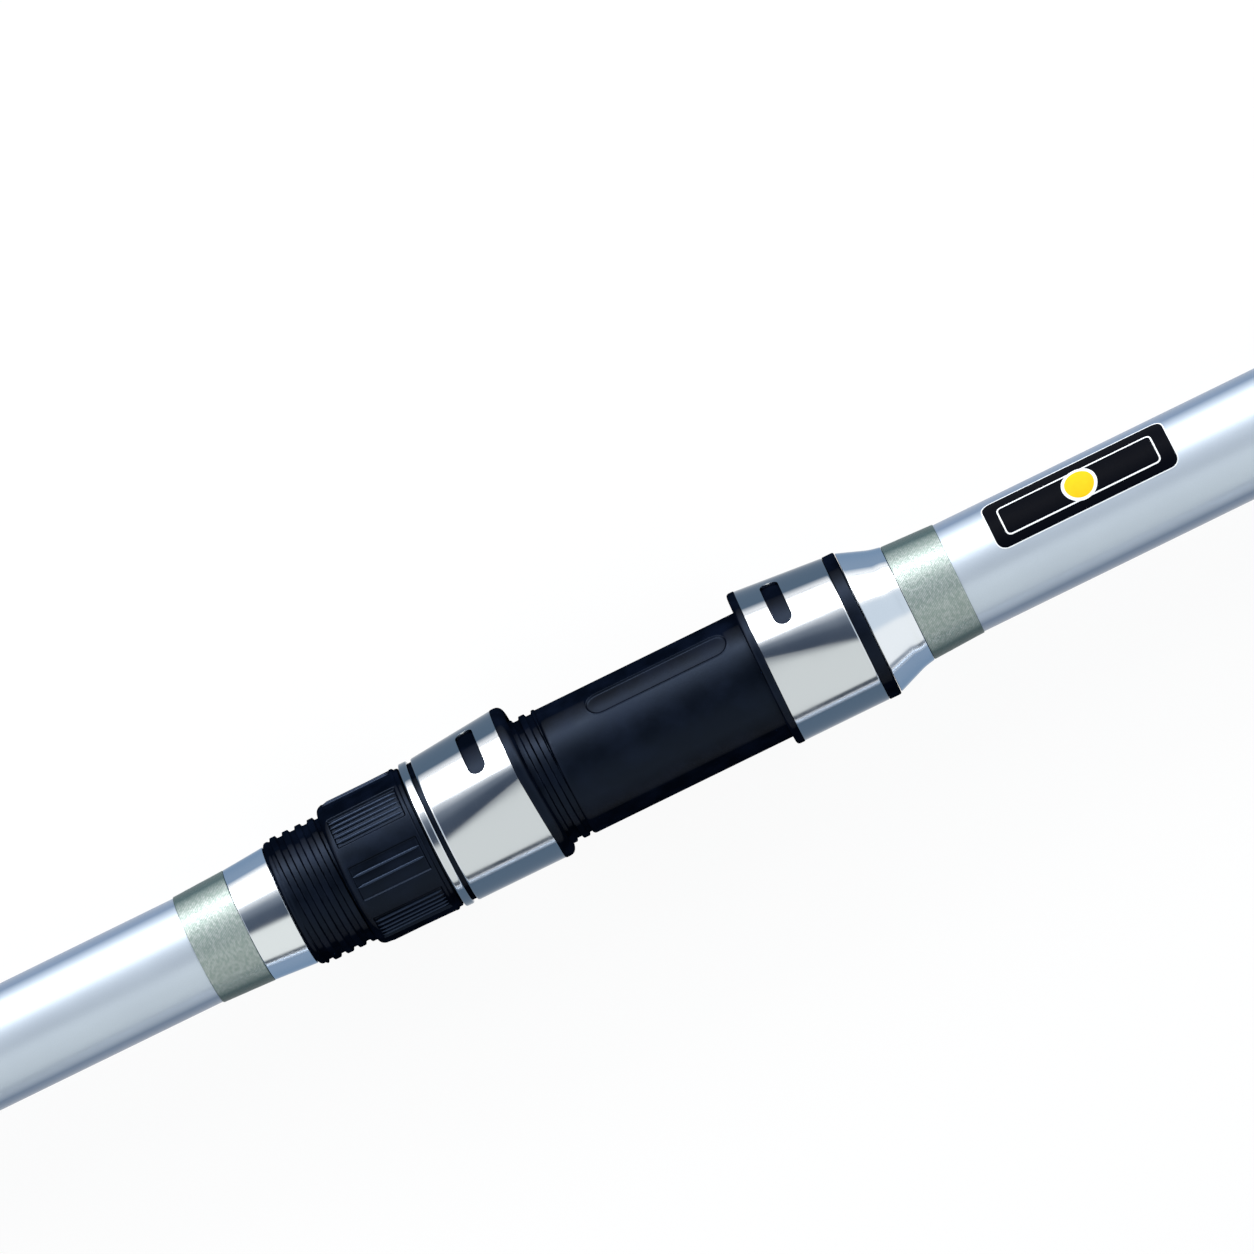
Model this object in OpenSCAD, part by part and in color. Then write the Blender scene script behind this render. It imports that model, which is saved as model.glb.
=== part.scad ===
// Three-piece surf rod with a screw-down reel seat, laid out in its three sections.
// X runs along the rod to the tip, Y points to the side that carries guides and reel, Z is up.
// The origin is the middle of the footprint, on the surface that the sections lie on.

/* [Layout] */
// Distance from the butt section's axis to the middle section's axis
mid_offset = 150; // [60:1:250]
// Distance from the middle section's axis to the tip section's axis
tip_offset = 65; // [45:1:150]

/* [Butt blank] */
// Length of the butt section with its end cap
butt_len = 1572; // [1400:1:1800]
// Blank diameter under the grip
butt_d_grip = 21.0; // [19:0.1:21.6]
// Blank diameter behind the reel seat
butt_d_rear = 21.56; // [20:0.02:21.8]
// Blank diameter ahead of the reel seat
butt_d_front = 22.12; // [20:0.02:22.2]
// Blank diameter at the upper end
butt_d_top = 21.4; // [20:0.1:22]
// Wall of the blank below the socket
butt_wall = 1.9; // [1.7:0.05:2.4]
// Depth of the socket for the middle section
butt_socket_depth = 120; // [100:1:160]
// Length of the metal ring at the mouth of the socket
butt_ring_len = 20; // [10:1:30]
// Wall of the metal ring at the mouth of the socket
butt_ring_wall = 0.45; // [0.2:0.05:1]
// Where the upper thread wrap begins
top_wrap_x = 1436; // [1250:1:1440]
// Length of the upper thread wrap
top_wrap_len = 43; // [20:1:60]
// Length of the bright trim ring at the end of the upper wrap
top_trim_len = 2; // [1:0.5:5]
// Height of the upper thread wrap over the blank
top_wrap_high = 0.7; // [0.3:0.05:1.2]

/* [Butt end] */
// Diameter of the rubber end cap
cap_d = 28; // [26:0.1:30]
// Length of the rubber end cap that shows
cap_len = 17; // [15:0.5:25]
// Length of the cap's plug inside the blank
plug_len = 26; // [10:1:60]
// Length of the flared metal ring
flare_len = 23; // [12:0.5:40]
// Diameter of the flared ring at the cap
flare_d = 28.1; // [26.5:0.1:31]
// Diameter of the flared ring at the grip
flare_neck_d = 23.4; // [23:0.1:26]
// Length of the grip sleeve
grip_len = 131; // [80:1:300]
// Diameter of the grip sleeve
grip_d = 22.4; // [22.2:0.1:26]

/* [Reel seat] */
// Distance from the butt end to the lower end of the thread
seat_x = 646; // [500:1:800]
// Length of the thread with its plain collar
thread_len = 57.6; // [56:0.1:75]
// Length of the plain collar at the thread's lower end
collar_len = 3.9; // [2:0.1:6]
// Thread pitch
pitch = 2.6; // [2:0.1:3.2]
// Diameter over the thread crests
crest_d = 25.96; // [25.6:0.02:26]
// Diameter at the thread roots
root_d = 24.7; // [24.4:0.02:25]
// Diameter of the smooth sleeve
sleeve_d = 26.06; // [26:0.02:26.1]
// Length of the smooth sleeve that shows
sleeve_len = 41.6; // [38:0.1:60]
// Bore of the reel seat body
seat_bore_d = 22.6; // [22.5:0.02:22.8]
// Height from the axis to the flat bed under the reel foot
foot_bed = 12.7; // [12.5:0.05:13]
// Width of the keyway in the thread
keyway_w = 3.2; // [2:0.1:5]
// Height from the axis to the floor of the keyway
keyway_floor = 12.0; // [11.7:0.05:12.2]
// Length of the shallow recess in the sleeve
recess_len = 29; // [10:0.5:34]
// Width of the shallow recess in the sleeve
recess_w = 5; // [3:0.1:7]
// Depth of the shallow recess in the sleeve
recess_depth = 0.4; // [0.1:0.05:0.8]
// Distance from the thread to the middle of the recess
recess_at = 23.7; // [18:0.1:25]
// Angle of the recess from the top towards the reel side
recess_angle = 43; // [0:1:60]
// Length of each shim between blank and seat
shim_len = 20; // [8:1:40]

/* [Lock nut] */
// Gap from the thread's lower end to the nut at rest
nut_rest = 12.4; // [4:0.1:13]
// Length of the nut's gripping part
nut_len = 16.1; // [12:0.1:17]
// Diameter of the nut
nut_d = 29.34; // [28.6:0.02:31]
// Length of the nut's plain end collar
nut_collar_len = 1.1; // [0.5:0.1:2]
// Depth of the gripping zones between the nut's raised panels
nut_zone_depth = 0.42; // [0.2:0.02:0.55]
// Number of gripping zones round the nut
nut_zones = 8; // [4:1:10]
// Ribs in each gripping zone
zone_ribs = 3; // [1:1:3]
// Angle from one rib to the next
rib_step = 8.8; // [6:0.1:9]
// Radius of each rib
rib_r = 0.3; // [0.15:0.05:0.4]

/* [Hoods] */
// Diameter of the hood covers where they are round
hood_d = 29.36; // [29.2:0.02:31]
// How far the hoods rise at the mouth to take the reel foot
hood_rise = 1.6; // [1:0.05:2.4]
// Sheet thickness of the hood covers
cover_t = 0.6; // [0.3:0.05:0.7]
// Length of each polished cover
cover_len = 17.8; // [15:0.1:25]
// Width of the movable hood's black rim
hood_rim_w = 2.4; // [1:0.1:4]
// Width of the fixed hood's black rim
fixed_rim_w = 1.4; // [1:0.1:4]
// How far each rim stands over its cover
rim_proud = 0.1; // [0.05:0.05:0.5]
// Width of the pocket for the reel foot
foot_w = 15.5; // [10:0.5:17]
// Roof thickness over the reel foot inside each cover
roof_t = 0.8; // [0.5:0.05:1]
// Width of the polished thrust ring
thrust_w = 1.9; // [1:0.1:3]
// Diameter of the polished thrust ring
thrust_d = 29.54; // [29:0.02:31]
// Length of each cover slot round the hood
slot_len = 11.4; // [6:0.1:13]
// Width of each cover slot along the rod
slot_w = 3.4; // [2:0.1:5]
// Distance from the cover's round end to the slot's centre
slot_at = 11.1; // [8:0.1:11.5]
// Angle of the slots from the top towards the reel side
slot_angle = 49; // [35:1:55]
// Width of the black band at the fixed hood's upper end
end_band_w = 2.45; // [1:0.05:4]

/* [Seat trims] */
// Length of the polished cone behind the seat
rear_cone_len = 8.4; // [5:0.1:15]
// Diameter of the rear cone at the seat
rear_cone_d = 24.1; // [23:0.1:24.3]
// Length of the polished cone ahead of the seat
front_cone_len = 8.2; // [6:0.1:15]
// Diameter of the rear cone at its small end
rear_cone_small_d = 22.8; // [22.6:0.1:22.9]
// Diameter of the front cone at the seat
front_cone_d = 28.8; // [26:0.1:29.3]
// Diameter of the front cone at its small end
front_cone_small_d = 23.6; // [23.4:0.1:24]
// Length of the thread wraps beside the seat
seat_wrap_len = 10.5; // [6:0.1:20]
// Height of the seat wraps over the blank at the cones
seat_wrap_high = 0.6; // [0.4:0.05:0.7]
// Height of the seat wraps over the blank at their thin ends
seat_wrap_low = 0.2; // [0.15:0.05:0.4]

/* [Middle section] */
// Length of the middle section
mid_len = 1548; // [1380:1:1800]
// Blank diameter at the spigot
mid_d_low = 18.6; // [18.4:0.1:20]
// Blank diameter at the upper end
mid_d_top = 13.3; // [12.8:0.1:15]
// Length of the spigot that goes into the butt section
mid_spigot_len = 114; // [80:1:118]
// Diameter of the spigot that goes into the butt section
mid_spigot_d = 18.0; // [17.9:0.02:18.4]
// Length of the spigot's end that is glued into the blank
mid_glued_len = 40; // [20:1:60]
// Bore of the blank at the spigot
mid_bore_d = 15.9; // [15:0.1:16.2]
// Depth of the socket for the tip section
mid_socket_depth = 95; // [92:1:140]
// Length of the metal ring at the mouth of the socket
mid_ring_len = 14; // [8:1:25]
// Wall of the metal ring at the mouth of the socket
mid_ring_wall = 0.5; // [0.2:0.05:1]
// Where the mesh wrap begins
mesh_wrap_x = 223; // [170:1:300]
// Length of the mesh wrap
mesh_wrap_len = 65; // [30:1:90]
// Height of the mesh wrap over the blank
mesh_wrap_high = 0.3; // [0.2:0.05:0.6]

/* [Tip section] */
// Length of the tip section with its tip-top
tip_len = 1543; // [1500:1:1800]
// Blank diameter at the spigot
tip_d_low = 9.7; // [9.4:0.1:10.4]
// Where the blank has the next diameter
tip_mid_x = 471; // [430:1:520]
// Blank diameter there, above the first guide
tip_d_mid = 7.0; // [6.4:0.1:8]
// Where the blank has the next diameter
tip_high_x = 1250; // [1200:1:1280]
// Blank diameter there, below the last guide
tip_d_high = 3.0; // [2.4:0.1:4]
// Blank diameter at the tip-top
tip_d_end = 2.0; // [1.6:0.1:2.2]
// Length of the spigot that goes into the middle section
tip_spigot_len = 89; // [60:1:91]
// Diameter of the spigot that goes into the middle section
tip_spigot_d = 10.5; // [9.8:0.02:10.6]
// Length of the spigot's end that is glued into the blank
tip_glued_len = 30; // [15:1:50]
// Bore of the blank at the spigot
tip_bore_d = 7.5; // [7:0.1:7.8]
// Where the hollow of the tip section ends
tip_hollow_end = 895; // [600:5:895]
// Length of the tip-top's tube
top_tube_len = 15; // [8:0.5:25]
// Diameter of the tip-top's tube
top_tube_d = 3.6; // [3.2:0.1:4.5]
// Length of the tip-top's loop
loop_len = 25; // [18:0.5:35]
// Width of the tip-top's loop
loop_w = 10.6; // [9.6:0.1:14]
// Thickness of the tip-top's wire
loop_wire = 1.1; // [0.8:0.1:1.4]
// Length of the wrap below the tip-top
top_whip_len = 10; // [5:0.5:20]

/* [Line guides] */
// Places of the guides on the middle section, at the ring
mid_guide_x = [560, 1227]; // [300:1:1400]
// Ring diameters of the guides on the middle section
mid_guide_d = [26, 22.7]; // [16:0.1:30]
// Heights of those rings over the blank
mid_guide_high = [8, 7]; // [3:0.1:12]
// Places of the guides on the tip section, at the ring
tip_guide_x = [311, 690, 1010, 1286]; // [150:1:1440]
// Ring diameters of the guides on the tip section
tip_guide_d = [15, 13.6, 12.4, 11.5]; // [11:0.1:18]
// Heights of those rings over the blank
tip_guide_high = [3, 2.5, 2, 1.6]; // [1:0.1:5]
// Wire thickness of the guides on the middle section
mid_guide_wire = 1.6; // [1.2:0.1:2]
// Wire thickness of the guides on the tip section
tip_guide_wire = 1; // [0.8:0.1:1.2]
// Length of the upper wrap of each guide on the middle section
mid_upper_wrap = 22; // [16:1:28]
// Length of the lower wrap of each guide on the middle section
mid_lower_wrap = 16; // [12:1:22]
// Length of both wraps of each guide on the tip section
tip_wrap_len = 14; // [10:1:18]
// Distance between the two wraps of each guide on the middle section
mid_wraps_apart = 19; // [15:1:24]
// Distance between the two wraps of each guide on the tip section
tip_wraps_apart = 12; // [10:1:16]
// Angle from a hoop's lowest point to its legs, on the middle section
mid_leg_angle = 75; // [60:1:90]
// Angle from a hoop's lowest point to its legs, on the tip section
tip_leg_angle = 110; // [95:1:120]
// Band width of a guide's hoop along the rod
hoop_w = 2.2; // [1.4:0.1:3]
// Wall of a guide's hoop
hoop_wall = 0.7; // [0.5:0.05:1.2]
// Wall of the hard ring inside the hoop
ring_wall = 1.2; // [0.8:0.05:1.6]
// Thickness of a guide foot
foot_t = 0.6; // [0.4:0.05:0.8]
// Height of the guide wraps over the blank
guide_wrap_high = 0.95; // [0.9:0.05:1.4]

/* [Hidden] */
$fn = 96;

// Clearances that the pieces share
glue = 0.05;
running = 0.08;
spigot_fit = 0.05;
face_gap = 0.15;
cut = 1;
bevel = 0.4;

// Details that two or more pieces share
hood_gap = 0.4;
thrust_wall = 0.8;
foot_short = 2;
upper_wrap_ahead = 3;
socket_step = 0.25;

// Colours of the finishes
paint = "#c3cfdd";
black = "#121827";
polished = "#d9dde2";
thread_green = "#93a299";
matte = "#474b57";
rubber = "#4a4a52";

// Shape of each blank as [distance from the lower end, radius]
grip_end = cap_len + flare_len + grip_len;
seat_rear = seat_x - rear_cone_len - seat_wrap_len;
fixed_rim_x = seat_x + thread_len + sleeve_len;
fixed_cover_x = fixed_rim_x + fixed_rim_w;
end_band_x = fixed_cover_x + cover_len;
seat_end = end_band_x + end_band_w;
front_cone_x = seat_end + face_gap;
front_wrap_x = front_cone_x + front_cone_len;
seat_front = front_wrap_x + seat_wrap_len;
butt_shape = [
    [cap_len, butt_d_grip / 2], [grip_end, butt_d_grip / 2], [seat_rear, butt_d_rear / 2],
    [seat_front, butt_d_front / 2], [butt_len, butt_d_top / 2]
];
mid_shape = [[mid_spigot_len, mid_d_low / 2], [mid_len, mid_d_top / 2]];
loop_x = tip_len - loop_len;
tip_blank_end = loop_x - 1;
tip_shape = [
    [tip_spigot_len, tip_d_low / 2], [tip_mid_x, tip_d_mid / 2],
    [tip_high_x, tip_d_high / 2], [tip_blank_end, tip_d_end / 2]
];
butt_socket_r = mid_spigot_d / 2 + spigot_fit;
mid_socket_r = tip_spigot_d / 2 + spigot_fit;

// Places of the moving pieces at rest
nut_x = seat_x + nut_rest;
nut_end = nut_x + nut_len + nut_collar_len;
thrust_x = nut_end + face_gap;
cover_x = thrust_x + thrust_w + hood_gap;
hood_rim_x = cover_x + cover_len;
hood_end = hood_rim_x + hood_rim_w;
ride_r = crest_d / 2 + running;
hood_r = hood_d / 2;
rim_r = hood_r + hood_rise / 2 + rim_proud;

// Height of each section's axis, so that its widest piece rests on the surface
butt_z = max(rim_r, cap_d / 2, flare_d / 2);
mid_z = max(max(mid_guide_d) / 2, mid_d_low / 2);
tip_z = max(max(tip_guide_d) / 2, tip_spigot_d / 2, loop_wire);

// Footprint, which sets the origin
all_len = max(butt_len, mid_len, tip_len);
side_high = max(rim_r + hood_rise / 2, flare_d / 2);
side_low = -mid_offset - tip_offset - max(tip_spigot_d / 2, loop_w / 2);
start_x = -all_len / 2;
butt_y = -(side_high + side_low) / 2;
mid_y = butt_y - mid_offset;
tip_y = mid_y - tip_offset;

module on_butt() translate([start_x, butt_y, butt_z]) children();
module on_mid() translate([start_x, mid_y, mid_z]) children();
module on_tip() translate([start_x, tip_y, tip_z]) children();

// Radius of a blank at a place
function r_at(shape, x) = lookup(x, shape);

// Points of an arc as [place along the rod, radius]
function arc(x, r, bend, from, to, steps = 8) =
    [for (i = [0 : steps]) let (a = from + (to - from) * i / steps) [x + bend * cos(a), r + bend * sin(a)]];

// A round piece turned about the rod from its outline, [place, radius] for each point
module turned(outline)
    rotate([0, 90, 0])
        rotate_extrude()
            polygon([for (p = outline) [p[1], p[0]]]);

// A plain cylinder along the rod
module rod(x, length, r)
    translate([x, 0, 0])
        rotate([0, 90, 0])
            cylinder(h = length, r = r);

// A band wound on or pushed over a blank, with eased edges
module band(shape, x, length, high, high_end, ease = bevel) {
    r0 = r_at(shape, x);
    r1 = r_at(shape, x + length);
    turned([
        [x, r0 + glue], [x, r0 + high / 2 + glue], [x + ease, r0 + high],
        [x + length - ease, r1 + high_end], [x + length, r1 + high_end / 2 + glue], [x + length, r1 + glue]
    ]);
}

// A straight wire between two points
module wire(a, b, r) {
    d = b - a;
    translate(a)
        rotate([0, acos(d.z / norm(d)), atan2(d.y, d.x)])
            cylinder(h = norm(d), r = r);
}

// The rounded weld where wires meet, a little larger than the wire
module weld(at, r)
    translate(at)
        sphere(1.12 * r);

// A slot outline with round ends, lying along its X
module stadium(length, width) {
    square([length - width, width], center = true);
    for (side = [-1, 1])
        translate([side * (length - width) / 2, 0])
            circle(d = width);
}

// A solid that leaves through the wall at an angle from the top towards the reel side
module facing(angle)
    rotate([-angle, 0, 0])
        children();

// Butt section

module butt_blank() {
    socket_x = butt_len - butt_socket_depth;
    below_r = min(r_at(butt_shape, socket_x) - butt_wall, butt_socket_r - socket_step);
    color(paint)
        on_butt()
            turned(concat(
                butt_shape,
                [[butt_len, butt_socket_r], [socket_x, butt_socket_r], [socket_x, below_r]],
                [for (i = [len(butt_shape) - 2 : -1 : 0]) [butt_shape[i][0], butt_shape[i][1] - butt_wall]]
            ));
}

module butt_end_cap() {
    ball = cap_d / 2;
    plug_r = butt_d_grip / 2 - butt_wall - glue;
    color(rubber)
        on_butt()
            turned(concat(
                [[0, 0]],
                arc(ball, 0, ball, 180, 90, 16),
                [[cap_len, ball], [cap_len, plug_r], [cap_len + plug_len - bevel, plug_r],
                 [cap_len + plug_len, plug_r - bevel], [cap_len + plug_len, 0]]
            ));
}

module butt_flare_ring() {
    big = flare_d / 2;
    neck = flare_neck_d / 2;
    bead = 1.6;
    bead_high = 0.25;
    bead_ease = 0.3;
    sweep = 1.3;
    seat_r = butt_d_grip / 2 + glue;
    first = cap_len + face_gap;
    last = cap_len + flare_len - face_gap;
    fall = last - bead - first - bead;
    color(polished)
        on_butt()
            turned(concat(
                [[first, seat_r], [first, big - bevel], [first + bevel, big]],
                [for (i = [0 : 8]) let (t = i / 8)
                    [first + bead + fall * t, neck + (big - neck) * pow(1 - t, sweep)]],
                [[last - bead + bead_ease, neck + bead_high], [last - bead_ease, neck + bead_high],
                 [last, neck], [last, seat_r]]
            ));
}

module butt_grip() {
    first = cap_len + flare_len;
    seat_r = butt_d_grip / 2 + glue;
    grip_r = grip_d / 2;
    color(black)
        on_butt()
            turned([
                [first, seat_r], [first, grip_r - bevel / 2], [first + bevel, grip_r],
                [grip_end - bevel, grip_r], [grip_end, grip_r - bevel], [grip_end, seat_r]
            ]);
}

module top_wrap()
    color(matte)
        on_butt()
            band(butt_shape, top_wrap_x, top_wrap_len, top_wrap_high, top_wrap_high);

module top_trim_ring() {
    high = top_wrap_high - 0.1;
    color(polished)
        on_butt()
            band(butt_shape, top_wrap_x + top_wrap_len + glue, top_trim_len, high, high, top_trim_len / 5);
}

module butt_socket_ring()
    color(polished)
        on_butt()
            band(butt_shape, butt_len - butt_ring_len, butt_ring_len, butt_ring_wall, butt_ring_wall, 0.2);

// Reel seat

module thread_rings() {
    first = seat_x + collar_len + pitch / 2;
    count = floor((thread_len - collar_len - pitch / 2) / pitch);
    land = pitch * 0.28;
    flank = pitch * 0.18;
    for (i = [0 : count - 1])
        let (x = first + i * pitch)
            turned([
                [x - land / 2 - flank, root_d / 2 - glue], [x - land / 2 - flank, root_d / 2],
                [x - land / 2, crest_d / 2], [x + land / 2, crest_d / 2],
                [x + land / 2 + flank, root_d / 2], [x + land / 2 + flank, root_d / 2 - glue]
            ]);
}

module seat_body() {
    thread_end = seat_x + thread_len;
    collar_inset = 0.4;
    collar_r = crest_d / 2 - collar_inset;
    color(black)
        on_butt()
            difference() {
                union() {
                    rod(seat_x + collar_len, seat_end - seat_x - collar_len, root_d / 2);
                    turned([
                        [seat_x, 0], [seat_x, collar_r - bevel], [seat_x + bevel, collar_r],
                        [seat_x + collar_len, collar_r], [seat_x + collar_len, 0]
                    ]);
                    rod(thread_end, seat_end - thread_end, sleeve_d / 2);
                    thread_rings();
                }
                rod(seat_x - cut, seat_end - seat_x + 2 * cut, seat_bore_d / 2);
                translate([seat_x + collar_len + pitch, -keyway_w / 2, -sleeve_d])
                    cube([thread_len - collar_len - pitch, keyway_w, sleeve_d - keyway_floor]);
                translate([thread_end, foot_bed, -foot_w / 2])
                    cube([sleeve_len, sleeve_d, foot_w]);
                intersection() {
                    facing(recess_angle)
                        translate([thread_end + recess_at, 0, 0])
                            linear_extrude(sleeve_d)
                                stadium(recess_len, recess_w);
                    difference() {
                        rod(thread_end, sleeve_len, sleeve_d / 2 + cut);
                        rod(thread_end - cut, sleeve_len + 2 * cut, sleeve_d / 2 - recess_depth);
                    }
                }
            }
}

module shim(x) {
    outer = seat_bore_d / 2 - glue;
    color("tan")
        on_butt()
            turned([
                [x, r_at(butt_shape, x) + glue], [x, outer],
                [x + shim_len, outer], [x + shim_len, r_at(butt_shape, x + shim_len) + glue]
            ]);
}

module seat_shim_rear() shim(seat_x + collar_len);
module seat_shim_front() shim(seat_end - collar_len - shim_len);

module rear_wrap()
    color(thread_green)
        on_butt()
            band(butt_shape, seat_rear, seat_wrap_len, seat_wrap_low, seat_wrap_high, 0.2);

module front_wrap()
    color(thread_green)
        on_butt()
            band(butt_shape, front_wrap_x, seat_wrap_len, seat_wrap_high, seat_wrap_low, 0.2);

module rear_cone() {
    first = seat_x - rear_cone_len + face_gap;
    last = seat_x - face_gap;
    seat_r0 = r_at(butt_shape, first) + glue;
    seat_r1 = r_at(butt_shape, last) + glue;
    color(polished)
        on_butt()
            turned([
                [first, seat_r0], [first, rear_cone_small_d / 2], [last - bevel, rear_cone_d / 2],
                [last, rear_cone_d / 2 - bevel / 2], [last, seat_r1]
            ]);
}

module front_cone() {
    lip = 1.3;
    fillet = 0.3;
    small_r = front_cone_small_d / 2;
    last = front_cone_x + front_cone_len - face_gap;
    seat_r0 = r_at(butt_shape, front_cone_x) + glue;
    seat_r1 = r_at(butt_shape, last) + glue;
    color(polished)
        on_butt()
            turned([
                [front_cone_x, seat_r0], [front_cone_x, front_cone_d / 2 - bevel / 2],
                [front_cone_x + bevel / 2, front_cone_d / 2], [last - lip, small_r + fillet / 2],
                [last - lip + fillet, small_r], [last, small_r], [last, seat_r1]
            ]);
}

// Hoods

// A hood form, round at 0 and rising from there towards the reel side, its far side staying parallel to
// the rod. It is drawn between two places, and the inset is the distance inside the outer surface.
module leaning_form(from, to, inset) {
    lean = atan(hood_rise / 2 / cover_len);
    reach = 6;
    start_r = hood_r - inset;
    intersection() {
        rotate([0, 0, lean])
            translate([-reach, 0, 0])
                rotate([0, 90, 0])
                    cylinder(h = cover_len + 2 * reach, r1 = start_r - reach * tan(lean),
                             r2 = start_r + (cover_len + reach) * tan(lean));
        rod(from, to - from, 2 * hood_d);
    }
}

// A black rim, round about the middle of the hood's mouth
module rim_disc(x, width)
    translate([0, hood_rise / 2, 0])
        turned([
            [x, 0], [x, rim_r - bevel / 2], [x + bevel / 2, rim_r], [x + width - bevel / 2, rim_r],
            [x + width, rim_r - bevel / 2], [x + width, 0]
        ]);

// The two slots of a cover, one on each side of the reel foot
module cover_slots(x)
    for (angle = [slot_angle, 180 - slot_angle])
        facing(angle)
            translate([x, 0, 0])
                rotate([0, 0, 90])
                    linear_extrude(hood_d)
                        stadium(slot_len, slot_w);

module cover_shell()
    difference() {
        leaning_form(0, cover_len, 0);
        leaning_form(-cut, cover_len + cut, cover_t);
        cover_slots(slot_at);
    }

// The liner's body inside a cover
module liner_body() leaning_form(0, cover_len, cover_t + glue);

// The room for the reel foot, open through a rim of the given width
module foot_pocket(rim_w)
    intersection() {
        leaning_form(-cut, cover_len + rim_w + cut, cover_t + glue + roof_t);
        translate([-cut, 0, -foot_w / 2])
            cube([cover_len + rim_w + 2 * cut, 2 * hood_d, foot_w]);
    }

module hood_cover()
    color(polished)
        on_butt()
            translate([cover_x, 0, 0])
                cover_shell();

module hood_liner() {
    shoulder_inset = 0.3;
    key_play = 0.2;
    key_root = 0.4;
    key_w = keyway_w - key_play;
    key_top = keyway_floor + key_play;
    color(black)
        on_butt() {
            difference() {
                union() {
                    rod(thrust_x, cover_x - thrust_x, thrust_d / 2 - thrust_wall);
                    rod(thrust_x + thrust_w, hood_gap, hood_r - shoulder_inset);
                    translate([cover_x, 0, 0])
                        liner_body();
                    rim_disc(hood_rim_x, hood_rim_w);
                }
                rod(thrust_x - cut, hood_end - thrust_x + 2 * cut, ride_r);
                translate([cover_x, 0, 0])
                    foot_pocket(hood_rim_w);
            }
            intersection() {
                translate([cover_x, -key_w / 2, -hood_r + cover_t])
                    cube([cover_len, key_w, hood_r - cover_t - key_top]);
                rod(cover_x, cover_len, ride_r + key_root);
            }
        }
}

module thrust_ring() {
    inner = thrust_d / 2 - thrust_wall + glue;
    outer = thrust_d / 2;
    ease = 0.25;
    last = thrust_x + thrust_w - glue;
    color(polished)
        on_butt()
            turned([
                [thrust_x, inner], [thrust_x, outer - ease], [thrust_x + ease, outer],
                [last - ease, outer], [last, outer - ease], [last, inner]
            ]);
}

module fixed_hood_cover()
    color(polished)
        on_butt()
            translate([end_band_x, 0, 0])
                mirror([1, 0, 0])
                    cover_shell();

module fixed_hood_liner()
    color(black)
        on_butt()
            difference() {
                union() {
                    rim_disc(fixed_rim_x, fixed_rim_w);
                    translate([end_band_x, 0, 0])
                        mirror([1, 0, 0])
                            liner_body();
                }
                rod(fixed_rim_x - cut, seat_end - fixed_rim_x, sleeve_d / 2 + glue);
                translate([end_band_x, 0, 0])
                    mirror([1, 0, 0])
                        foot_pocket(fixed_rim_w);
            }

module fixed_hood_band() {
    inner = sleeve_d / 2 + glue;
    outer = hood_r + glue / 2;
    last = seat_end;
    color(black)
        on_butt()
            turned([
                [end_band_x + glue, inner], [end_band_x + glue, outer], [last - bevel, outer],
                [last, outer - bevel], [last, inner]
            ]);
}

// Lock nut

module lock_nut() {
    nut_r = nut_d / 2;
    shoulder = 1.2;
    shoulder_inset = 0.3;
    end_land = 1;
    side_land = 4.25;
    zone_centre = 33.8;
    zone_r = nut_r - nut_zone_depth;
    zone_x = nut_x + shoulder + bevel / 4;
    zone_len = nut_len - shoulder - end_land;
    zone_angle = (zone_ribs - 1) * rib_step + 2 * side_land;
    color(black)
        on_butt()
            difference() {
                union() {
                    difference() {
                        turned(concat(
                            [[nut_x, 0]],
                            arc(nut_x + shoulder, nut_r - shoulder_inset - shoulder, shoulder, 180, 90),
                            [[nut_x + nut_len - bevel, nut_r], [nut_x + nut_len, nut_r - bevel],
                             [nut_end, nut_r - bevel], [nut_end, 0]]
                        ));
                        for (i = [0 : nut_zones - 1])
                            facing(zone_centre + i * 360 / nut_zones)
                                translate([zone_x, 0, 0])
                                    rotate([0, 90, 0])
                                        rotate([0, 0, 180 - zone_angle / 2])
                                            rotate_extrude(angle = zone_angle)
                                                translate([zone_r, 0])
                                                    square([cut, zone_len]);
                    }
                    for (i = [0 : nut_zones - 1], k = [0 : zone_ribs - 1])
                        facing(zone_centre + i * 360 / nut_zones + (k - (zone_ribs - 1) / 2) * rib_step)
                            translate([zone_x - glue, 0, zone_r])
                                rotate([0, 90, 0])
                                    cylinder(h = zone_len + 2 * glue, r = rib_r, $fn = 24);
                }
                rod(nut_x - cut, nut_end - nut_x + 2 * cut, ride_r);
            }
}

// Spigots and thin blanks

// Free length between a spigot's glued end and the blank's slimmer bore
glued_room = 2;

// A spigot: a tube with a round closed end, and a smaller stretch glued inside its blank
module spigot(length, d, bore, inside) {
    r = d / 2;
    end_bend = r * 0.6;
    closed_end = end_bend * 1.5;
    wall = 1.3;
    glued_r = bore / 2 - glue;
    hole = glued_r - wall;
    turned(concat(
        [[0, 0], [0, r - end_bend]],
        arc(end_bend, r - end_bend, end_bend, 180, 90),
        [[length - glue, r], [length - glue, glued_r], [length + inside, glued_r],
         [length + inside, hole], [closed_end, hole], [closed_end, 0]]
    ));
}

module mid_spigot()
    color(matte)
        on_mid()
            spigot(mid_spigot_len, mid_spigot_d, mid_bore_d, mid_glued_len);

module mid_blank() {
    socket_x = mid_len - mid_socket_depth;
    glued_end = mid_spigot_len + mid_glued_len + glued_room;
    color(paint)
        on_mid()
            turned(concat(mid_shape, [
                [mid_len, mid_socket_r], [socket_x, mid_socket_r], [socket_x, mid_socket_r - socket_step],
                [glued_end, mid_bore_d / 2], [mid_spigot_len, mid_bore_d / 2]
            ]));
}

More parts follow.
